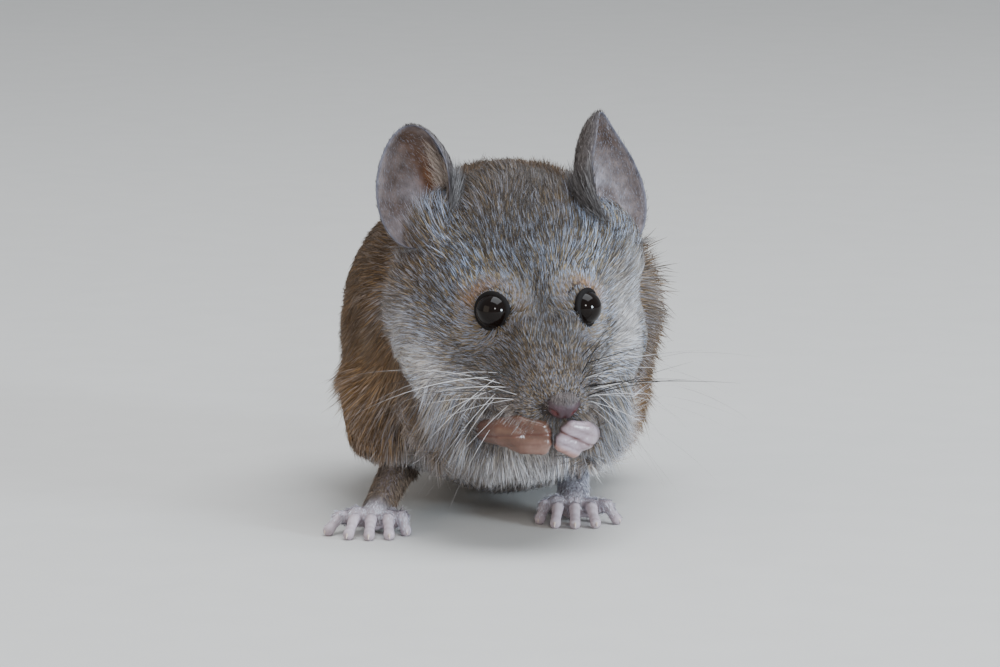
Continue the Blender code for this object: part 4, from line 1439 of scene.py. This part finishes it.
# %% [markdown]
# ## The colours of the hairs
# Three kinds share each patch of skin: banded hairs with a tan band below a dark tip, silver ones with a
# pale tip, and a few long dark guard hairs. The markings then draw all three towards brown, pale or tan.

# %% Colours of the hairs
TAN, DEEP_TAN, EYE_TAN = paint(120, 108, 84), paint(120, 92, 63), paint(134, 96, 58)
# The silver hairs are grey, tinted blue as a painted sheen of cool daylight.
COOL_LIT_SILVER, BROWN_SILVER, COOL_LIT_SILVER_TIP = paint(99, 108, 126), paint(105, 85, 64), paint(156, 173, 202)
WARM_TIP, GUARD, GUARD_TIP = paint(128, 105, 78), paint(44, 37, 33), paint(32, 26, 23)
PALE_HAIR, PALE_TIP, WOOL = paint(146, 137, 130), paint(190, 188, 190), paint(58, 48, 40)
BANDED_BELOW, GUARD_ABOVE = 0.45, 0.84


def hair_colours(kind, marked, spot):
    """Root to tip colours. kind runs from 0 to 1: banded hairs first, then silver ones, then guard hairs."""
    brown, pale, tan, _, shade = marked.T
    banded, guard = kind < BANDED_BELOW, kind > GUARD_ABOVE

    def by_kind(of_banded, of_silver, of_guard):
        return np.where(banded[:, None], of_banded, np.where(guard[:, None], of_guard, of_silver))

    band = mix(TAN, DEEP_TAN, brown)
    silver = mix(COOL_LIT_SILVER, BROWN_SILVER, brown)
    silver_tip = mix(COOL_LIT_SILVER_TIP, WARM_TIP, brown)
    dark = mix(GUARD, 0.5 * DEEP_TAN, brown ** 2)
    dark_tip = mix(GUARD_TIP, 0.35 * DEEP_TAN, brown ** 2)
    middle = by_kind(band, silver, dark)
    upper = by_kind(band * 1.15, silver_tip * 0.85, dark)
    tip = by_kind(mix(dark * 1.2, band, 0.6 * brown ** 2), silver_tip, dark_tip)
    pale = np.clip(pale * (1 + 0.5 * ripple(spot, 2.5, 51)), 0, 1) * np.where(guard, 0.45, 0.9)
    middle = mix(middle, PALE_HAIR, pale)
    upper = mix(upper, PALE_TIP, pale * 0.8)
    tip = mix(tip, PALE_TIP, pale)
    tan = np.clip(tan * np.where(guard, 0.4, 0.85), 0, 1)
    middle, upper = mix(middle, EYE_TAN, tan), mix(upper, EYE_TAN, tan)
    root = mix(WOOL * np.ones_like(middle), middle, 0.25 + 0.3 * pale)
    spread = 0.6 - 0.2 * pale - 0.3 * (1 - marked[:, 3])
    # shade brings the markings' painted light and shade into every hair.
    bright = (1 + spread * (rng.random(len(kind)) - 0.5)) * (1 + 0.10 * ripple(spot, 4.0, 52)) * shade
    return np.stack([root, (middle + upper) / 2, tip], axis=1) * bright[:, None, None]


# %% Which piece of coat a hair belongs to
def region_of(root, normal):
    """The name of the piece that each hair is part of. A later line wins over an earlier one."""
    h, head = in_head(root), head_share(root) > 0.5
    left = h[:, 0] > 0
    names = np.full(len(root), "coat_flank_right", dtype="U24")
    names[root[:, 0] > 0] = "coat_flank_left"
    names[normal[:, 2] > 0.6] = "coat_back"
    names[normal[:, 2] < -0.45] = "coat_belly"
    names[root[:, 1] > 45] = "coat_rump"
    names[(root[:, 1] < 19) & ~head] = "coat_chest"
    names[head & left] = "coat_cheek_left"
    names[head & ~left] = "coat_cheek_right"
    names[head & (h[:, 2] > 1.5)] = "coat_brow"
    names[head & (h[:, 1] < 8)] = "coat_muzzle"
    return names


# %% [markdown]
# ## Growing the coat
# Everything is ready, so the coat is grown in one go: roots, then a length, a height and a direction for
# each hair, then its width and colour. A quarter of the hairs are short slate wool, which shows only as
# depth between the others. The coat is built as one piece for each region, so that none grows too large.

# %% How dense the coat is
HEAD_DENSITY, BODY_DENSITY, MUZZLE_DENSITY = 190.0, 75.0, 230.0
density = BODY_DENSITY + (HEAD_DENSITY - BODY_DENSITY) * skin_marks[:, 3]
on_muzzle = soft_step(8.0, 2.0, in_head(surface)[:, 1])
density = density + (MUZZLE_DENSITY - density) * skin_marks[:, 3] * on_muzzle
density = density * (1 - bare_skin(surface)) * (1 - 0.5 * soft_step(-0.6, -0.9, normals[:, 2]))
density = density * (1 - 0.5 * near_arm(surface))
print("hairs for each square mm, up to:", round(density.max(), 1))

# %% Roots
place = scatter(surface, quads, density)
root, normal, lie = (sampled(field, place) for field in (surface, normals, flow))
normal = unit(normal)
lie = unit(lie - normal * (lie * normal).sum(axis=1, keepdims=True))
marked = sampled(skin_marks, place)
off_head = 1 - marked[:, 3]
print("roots:", len(root))

# %% Kinds, lengths and heights
WOOL_SHARE, STANDING_SHARE = 0.25, 0.25
length = sampled(coat_length(surface), place) * rng.normal(1.0, 0.16, len(root)).clip(0.5, 1.5)
kind = rng.random(len(root)) * np.where(near_eye(root) < 3.2, GUARD_ABOVE, 1.0)
wool = rng.random(len(root)) < WOOL_SHARE
guard = kind > GUARD_ABOVE
length = length * np.where(wool, 0.6, np.where(guard, 1.12, 1.0))
height = sampled(depth, place) * sampled(coat_stand(surface), place)
height = height * np.where(wool, 0.5, np.where(guard, 1.05, rng.uniform(0.55, 1.0, len(root))))
standing = (guard | (kind < 0.05)) & (rng.random(len(root)) < STANDING_SHARE)
laid = np.where(standing, 0.5 * soft_step(20, 13, root[:, 2]), 0.62)
height = height * (1 - sampled(fringe(surface), place) * laid)
height = height * (1 - 0.5 * sampled(near_arm(surface), place))
print("hair length, mm:", np.round(np.percentile(length, (5, 50, 95)), 2))

# %% Middle lines, gathered into tufts
angle = rng.normal(0.0, 0.16, len(root)) + 0.22 * ripple(root, 3.4, 61)
lie = turned(lie, normal, angle)
spine = spines(root, normal, lie, sampled(bend, place), height, length)
spine = tufted(spine, root, 0.08, 0.14 + 0.16 * off_head)
print("highest hair tip, mm:", round(spine[:, -1, 2].max(), 2))

# %% Widths and colours
width = 0.046 + 0.032 * off_head + 0.006 * guard
width = width * rng.uniform(0.8, 1.25, len(root))
roll = rng.normal(0.0, 0.45, len(root))
across = np.cross(normal, lie) * np.cos(roll)[:, None] + normal * np.sin(roll)[:, None]
colour = hair_colours(kind, marked, root)
colour[wool] = mix(colour[wool], WOOL, 0.45)
print("hair width, mm:", np.round(np.percentile(width, (5, 50, 95)), 3))

# %% The pieces of the coat
HEAD_COAT = hair_material("silver_agouti", 0.45, 0.4, 0.1)
BODY_COAT = hair_material("brown_agouti", 0.6, 0.2, 0.05)
MOST_HAIRS = 62000
names = region_of(root, normal)
for region in np.unique(names):
    members = np.flatnonzero(names == region)
    parts = np.array_split(members, math.ceil(len(members) / MOST_HAIRS))
    for k, chosen in enumerate(parts):
        title = region if len(parts) == 1 else f"{region}_{k + 1}"
        coat = HEAD_COAT if off_head[chosen].mean() < 0.5 else BODY_COAT
        blades(title, spine[chosen], across[chosen], width[chosen], colour[chosen], coat, "grey_brown_coat")
print("hairs in the coat:", len(root))

# %% [markdown]
# ## Down on the ears, nose, feet and tail
# The parts that look bare carry a thin down. Inside each ear fine pale hairs point to the rim, and longer
# cream ones cross the hollow from its front edge. The feet wear a short sleek stocking down to the toes.
# One function grows them all: each measure is one value, or one for each point of the skin.


# %% A function for down
FINE = hair_material("fine_pale_down", 0.5, 0.4, 0.1)


def down(name, skin, lie, density, length, height, width, colours, slot, pull=0.0):
    """Grows short hairs on a stretch of skin, in tones between a dark and a light colour."""
    points, faces = skin
    place = scatter(points, faces, density)
    fields = (points, normals_of(points, faces), np.broadcast_to(lie, points.shape))
    root, normal, way = (sampled(field, place) for field in fields)
    normal = unit(normal)
    way = unit(way - normal * (way * normal).sum(axis=1, keepdims=True))
    way = turned(way, normal, rng.normal(0.0, 0.22, len(root)))
    size = rng.uniform(0.6, 1.2, len(root))
    high, long = (sampled(np.broadcast_to(field, len(points)), place) * size for field in (height, length))
    line = spines(root, normal, way, np.zeros(len(root)), high, long)
    if pull:
        line = tufted(line, root, 0.07, np.full(len(root), pull))
    roll = rng.normal(0.0, 0.4, len(root))
    across = np.cross(normal, way) * np.cos(roll)[:, None] + normal * np.sin(roll)[:, None]
    dark, light = (sampled(np.broadcast_to(field, points.shape), place) for field in colours)
    colour = mix(dark, light, rng.random(len(root)))[:, None] * np.array((0.7, 1.0, 1.15))[:, None]
    blades(name, line, across, width * rng.uniform(0.8, 1.2, len(root)), colour, FINE, slot)


# %% Down on the ears
CUP_HAIR = (paint(92, 84, 82), paint(150, 150, 164))
FRINGE_HAIR = (paint(128, 112, 102), paint(206, 194, 186))
EAR_ROOT_HAIR = (paint(64, 59, 58), paint(134, 131, 132))
EAR_BACK_HAIR = (paint(60, 53, 50), paint(128, 122, 122))

for name, side in SIDES.items():
    inner, outer, forward, high, rim, hollow = ear_fields[name]
    _, (axis, out, up), _ = ear_frame(name)
    cup, back = (inner, ear_faces(0, side > 0)), (outer, ear_faces(0, side < 0))
    to_rim = up - 0.55 * side * axis
    # The down is thinned over the painted shade of the hollow.
    thin = (0.4 + 0.6 * soft_step(0.3, -0.3, forward)) * soft_step(1.0, 0.93, rim) * (1 - 0.9 * hollow)
    front = np.exp(-((forward + 0.15 * high - 0.62) / 0.2) ** 2) * soft_step(0.6, 0.2, high)
    low = soft_step(0.15, -0.25, high) * soft_step(-0.5, 0.1, forward)
    inside_rim = soft_step(1.0, 0.95, rim)
    down(f"ear_down_{name}", cup, to_rim, 45.0 * thin, 0.5, 0.08, 0.034, CUP_HAIR, "ear_skin")
    down(f"ear_fringe_{name}", cup, to_rim, 36.0 * front, 3.2, 0.9, 0.04, FRINGE_HAIR, "ear_skin", pull=0.5)
    down(f"ear_base_{name}", back, up + 0.25 * out, 80.0 * low, 2.0, 0.7, 0.045, EAR_ROOT_HAIR, "ear_skin",
         pull=0.15)
    down(f"ear_back_{name}", back, up + 0.2 * out, 45.0 * inside_rim, 0.7, 0.12, 0.05, EAR_BACK_HAIR,
         "ear_skin")

# %% Down on the nose
NOSE_HAIR = (paint(62, 54, 54), paint(120, 110, 108))
top_of_nose = np.maximum(soft_step(0.35, 0.8, ball[:, 2]), soft_step(0.85, 1.0, np.abs(ball[:, 0])))
down("nose_down", (nose_pad, ball_faces), HEAD_TURN @ np.array((0.1, 0.5, 0.9)), 190.0 * top_of_nose,
     0.25 + 0.35 * top_of_nose, 0.03 + 0.1 * top_of_nose, 0.04, NOSE_HAIR, "nose_skin")

# %% Stockings on the hind feet
TOE_HAIR = (paint(176, 172, 180), paint(226, 226, 236))
# Painted light and shade: the left heel's stocking is painted pale and bluish as lamplight, the right one
# darker brown, partly its own colour and partly shade.
HEEL_HAIR_LIT_AND_SHADED = {
    "left": (paint(176, 174, 184), paint(230, 230, 240)),
    "right": (paint(86, 70, 58), paint(150, 130, 112)),
}
for name in SIDES:
    points = feet[name][0]
    ball_point, heel = np.array(FEET[name][0]), np.array(HEELS[name])
    back = (points - ball_point) @ unit(heel - ball_point)
    furred = soft_step(-2.2, 0.4, back) * soft_step(0.4, 1.0, points[:, 2])
    spread = 0.12 * (points - ball_point) * np.array((1, 0, 0))
    lie = unit(ball_point - heel) + np.array((0, 0, -0.25)) + spread
    to_leg = soft_step(0.0, 3.0, back)
    colours = [mix(at_toes, at_heel, to_leg) for at_toes, at_heel in zip(TOE_HAIR, HEEL_HAIR_LIT_AND_SHADED[name])]
    down(f"foot_fur_{name}", feet[name], lie, 60.0 * furred, 0.7 + 0.7 * to_leg, 0.1 + 0.2 * to_leg, 0.06,
         colours, "pale_leg_coat")

# %% Down on the tail
TAIL_HAIR = (paint(70, 60, 58), paint(150, 138, 130))
tail_lie = np.repeat(np.c_[heading, np.zeros(len(heading))], TAIL_SIDES, axis=0)
off_floor = soft_step(0.3, 0.6, tail_points[:, 2])
down("tail_down", (tail_points, tail_faces), tail_lie, 7.0 * off_floor, 1.0, 0.12, 0.045, TAIL_HAIR,
     "tail_skin")

# %% [markdown]
# ## Hair that hangs
# At the lips and the jowls the hair leaves the skin and hangs over the paws. There it can't follow the
# skin as the coat does. So its middle lines are drawn straight out and down, with a little sag, and every
# blade is rolled its own way, or the tuft would look like a card from the side.


# %% A function for hanging hair
SAG = np.array((0.0, 0.3, -1.0))


def hanging(name, weight, count, lengths, way, width, shade):
    """Hairs that leave the skin and hang. weight says how likely each point of skin is to hold a root."""
    chosen = rng.choice(len(surface), count, p=weight / weight.sum())
    root = surface[chosen]
    aside = in_head(root)[:, 0]
    outward = np.sign(aside) * soft_step(0.0, 1.5, np.abs(aside))
    lie = np.stack([way[0] * outward, np.full(count, way[1]), np.full(count, way[2])], axis=1)
    lie = unit(lie + rng.normal(0.0, 0.16, lie.shape))
    length = rng.uniform(*lengths, count)[:, None, None]
    run = LEVELS[:, None]
    line = root[:, None] + lie[:, None] * length * run + SAG * 0.3 * length * run ** 2
    tint = hair_colours(rng.random(count), skin_marks[chosen], root) * shade
    roll = rng.uniform(-0.9, 0.9, count)[:, None]
    flat = unit(np.cross(lie, np.array((0.0, -1.0, 0.0))))
    across = flat * np.cos(roll) + np.cross(lie, flat) * np.sin(roll)
    blades(name, line, across, width * rng.uniform(0.7, 1.3, count), tint, FINE, "grey_brown_coat")


# %% Lips and jowls
h = in_head(surface)
aside = np.abs(h[:, 0])
lips = soft_step(5.2, 3.8, aside) * soft_step(0.2, 1.2, h[:, 1]) * soft_step(5.5, 4.0, h[:, 1])
lips = lips * soft_step(-4.0, -3.2, h[:, 2]) * soft_step(-1.4, -2.0, h[:, 2])
lips = lips * soft_step(0.2, 0.0, normals @ HEAD_TURN[:, 2])
hanging("lip_hair", lips, 650, (0.7, 1.8), (0.75, -0.55, -0.5), 0.024, 0.85)
jowls = soft_step(2.5, 4.5, aside) * soft_step(10.5, 7.5, aside) * soft_step(3.5, 5.5, h[:, 1])
jowls = jowls * soft_step(12.0, 8.5, h[:, 1])
jowls = jowls * soft_step(-8.0, -6.0, h[:, 2]) * soft_step(-2.5, -4.5, h[:, 2])
hanging("jowl_hair", jowls, 4200, (1.6, 3.4), (0.4, -0.15, -0.85), 0.048, 0.78)

# %% [markdown]
# ## Whiskers and claws
# A whisker is a stiff tapered rod that springs from the pad and droops a little by its own weight. The long
# ones are white and the shorter upper ones black. Claws are the same rods, shorter and thicker.


# %% Rods
def rods(name, paths, radii, colours, material, slot, sides=5):
    """Tapered rods: for each one its middle line, its radius along it and its colour along it."""
    paths, radii, colours = np.array(paths), np.array(radii), np.array(colours)
    count, steps = radii.shape
    along = unit(np.gradient(paths, axis=1))
    first = unit(np.cross(along, np.array((0.31, 0.22, 0.92))))
    second = np.cross(along, first)
    turn = np.linspace(0, 2 * math.pi, sides, endpoint=False)[:, None]
    rings = first[:, :, None] * np.cos(turn) + second[:, :, None] * np.sin(turn)
    points = paths[:, :, None] + rings * radii[:, :, None, None]
    one_rod = ring_faces(steps, sides)[:, [0, 3, 2, 1]]
    faces = (one_rod + (np.arange(count) * steps * sides)[:, None, None]).reshape(-1, 4)
    mesh = mesh_from(name, points.reshape(-1, 3), faces)
    store(mesh, "tint", np.repeat(colours, sides, axis=1).reshape(-1, 3))
    u, v = np.meshgrid(np.arange(sides) / sides, np.arange(steps) / steps)
    patch = np.stack([u, v], axis=-1).reshape(-1, 2) * PATCH
    map_patches(mesh, (cells(paths[:, 0])[:, None] + patch).reshape(-1, 2))
    show(name, mesh, material, slot)
    print(f"{name}: {count} rods")


# %% Long whiskers
WHISKER_STEPS, WHISKER_GIRTH = 12, 0.025
WHISKER_PALE, WHISKER_DUSK, WHISKER_DARK = paint(208, 206, 208), paint(128, 122, 120), paint(26, 23, 24)
WHISKER_SETS = [
    # side, how many, middle of the roots on the head, first and last direction, first and last length,
    # droop, and whether they are pale
    ("right", 15, (4.0, 4.6, -1.7), (0.96, -0.12, 0.34), (0.50, -0.35, -0.75), (19.0, 9.0), 0.36, True),
    ("left", 16, (4.0, 4.6, -1.7), (0.95, -0.10, 0.42), (0.60, -0.20, -0.55), (18.0, 9.0), 0.42, True),
    ("right", 9, (3.6, 5.2, -0.6), (0.80, -0.25, 0.60), (0.95, -0.25, 0.15), (9.0, 13.0), 0.12, False),
    ("left", 14, (3.6, 4.4, -0.6), (0.50, -0.40, 0.75), (0.90, -0.35, 0.10), (10.0, 14.0), 0.10, False),
]
PAD_SPREAD = np.array((0.0, 1.7, 1.2))
share = np.linspace(0, 1, WHISKER_STEPS)[:, None]
taper = 1.06 - share[:, 0]
dark_rod = WHISKER_DARK * np.ones_like(share)
pale_rod = WHISKER_PALE + (WHISKER_DUSK - WHISKER_PALE) * soft_step(0.35, 0.75, share)
dice = np.random.default_rng(5)
whiskers = []  # the middle line, the radius along it and the colour along it, for each one


def skin_near(spot, side):
    """The point of the skin that is nearest to a spot on the head."""
    return surface[np.argmin(far_from(surface, from_head(on_side(spot, side))))]


for name, count, middle, first, last, lengths, droop, is_pale in WHISKER_SETS:
    side = SIDES[name]
    for k in range(count):
        at = k / (count - 1)
        spot = np.array(middle) + PAD_SPREAD * (0, k % 3 - 1, 1 - 2 * at) + dice.normal(0.0, 0.2, 3)
        root = skin_near(spot, side)
        way = on_side(unit(np.array(first) * (1 - at) + np.array(last) * at + dice.normal(0, 0.08, 3)), side)
        length = (lengths[0] * (1 - at) + lengths[1] * at) * dice.uniform(0.65, 1.05)
        sag = SAG * length * droop * dice.uniform(0.5, 1.5)
        path = root - way * 0.3 + way * length * share + sag * share ** 2
        girth = WHISKER_GIRTH * dice.uniform(0.5, 1.5) * (0.6 + 0.03 * length) * (1.0 if is_pale else 1.9)
        whiskers.append((path, girth * taper, pale_rod if is_pale else dark_rod))
print("long whiskers:", len(whiskers))

# %% Short bristles, and the piece
BRISTLE_ROWS, BRISTLE_COLUMNS, BRISTLE_RADIUS = 4, 7, 0.032
for side in SIDES.values():
    for row, column in np.ndindex(BRISTLE_ROWS, BRISTLE_COLUMNS):
        spot = np.array((3.4, 1.6 + 0.75 * column, -0.3 - 0.65 * row)) + dice.normal(0.0, 0.15, 3)
        root = skin_near(spot, side)
        way = HEAD_TURN @ on_side(unit(np.array((0.85, 0.35, 0.15 - 0.15 * row))), side)
        path = root + way * dice.uniform(1.4, 2.6) * share + np.array((0, 0, -0.5)) * share ** 2
        whiskers.append((path, BRISTLE_RADIUS * taper, dark_rod))
paths, girths, colours = zip(*whiskers)
rods("whiskers", paths, girths, colours, hair_material("whisker", 0.3, 0.5, 0.0), "grey_brown_coat")

# %% Claws
CLAW_HORN, CLAW_STEPS = paint(196, 180, 168), 6
share = np.linspace(0, 1, CLAW_STEPS)[:, None]
hook = np.array((0, 0, 0.12)) * np.sin(share * math.pi)
paths = [root + (end - root) * share + hook for root, end, _ in claws]
girths = [girth * (1.02 - share[:, 0]) ** 0.7 for *_, girth in claws]
colours = np.broadcast_to(CLAW_HORN, (len(claws), CLAW_STEPS, 3))
rods("claws", paths, girths, colours, hair_material("claw_horn", 0.35, 0.5, 0.0), "paw_skin", sides=8)

# %% [markdown]
# ## Sizes, and the end
# The hair may stand a little proud of the solids, and no more. The size of the model is printed.

# %% Measure the model
low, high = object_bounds()
print("model, mm:", np.round((np.array(high) - np.array(low)) / MM, 1))
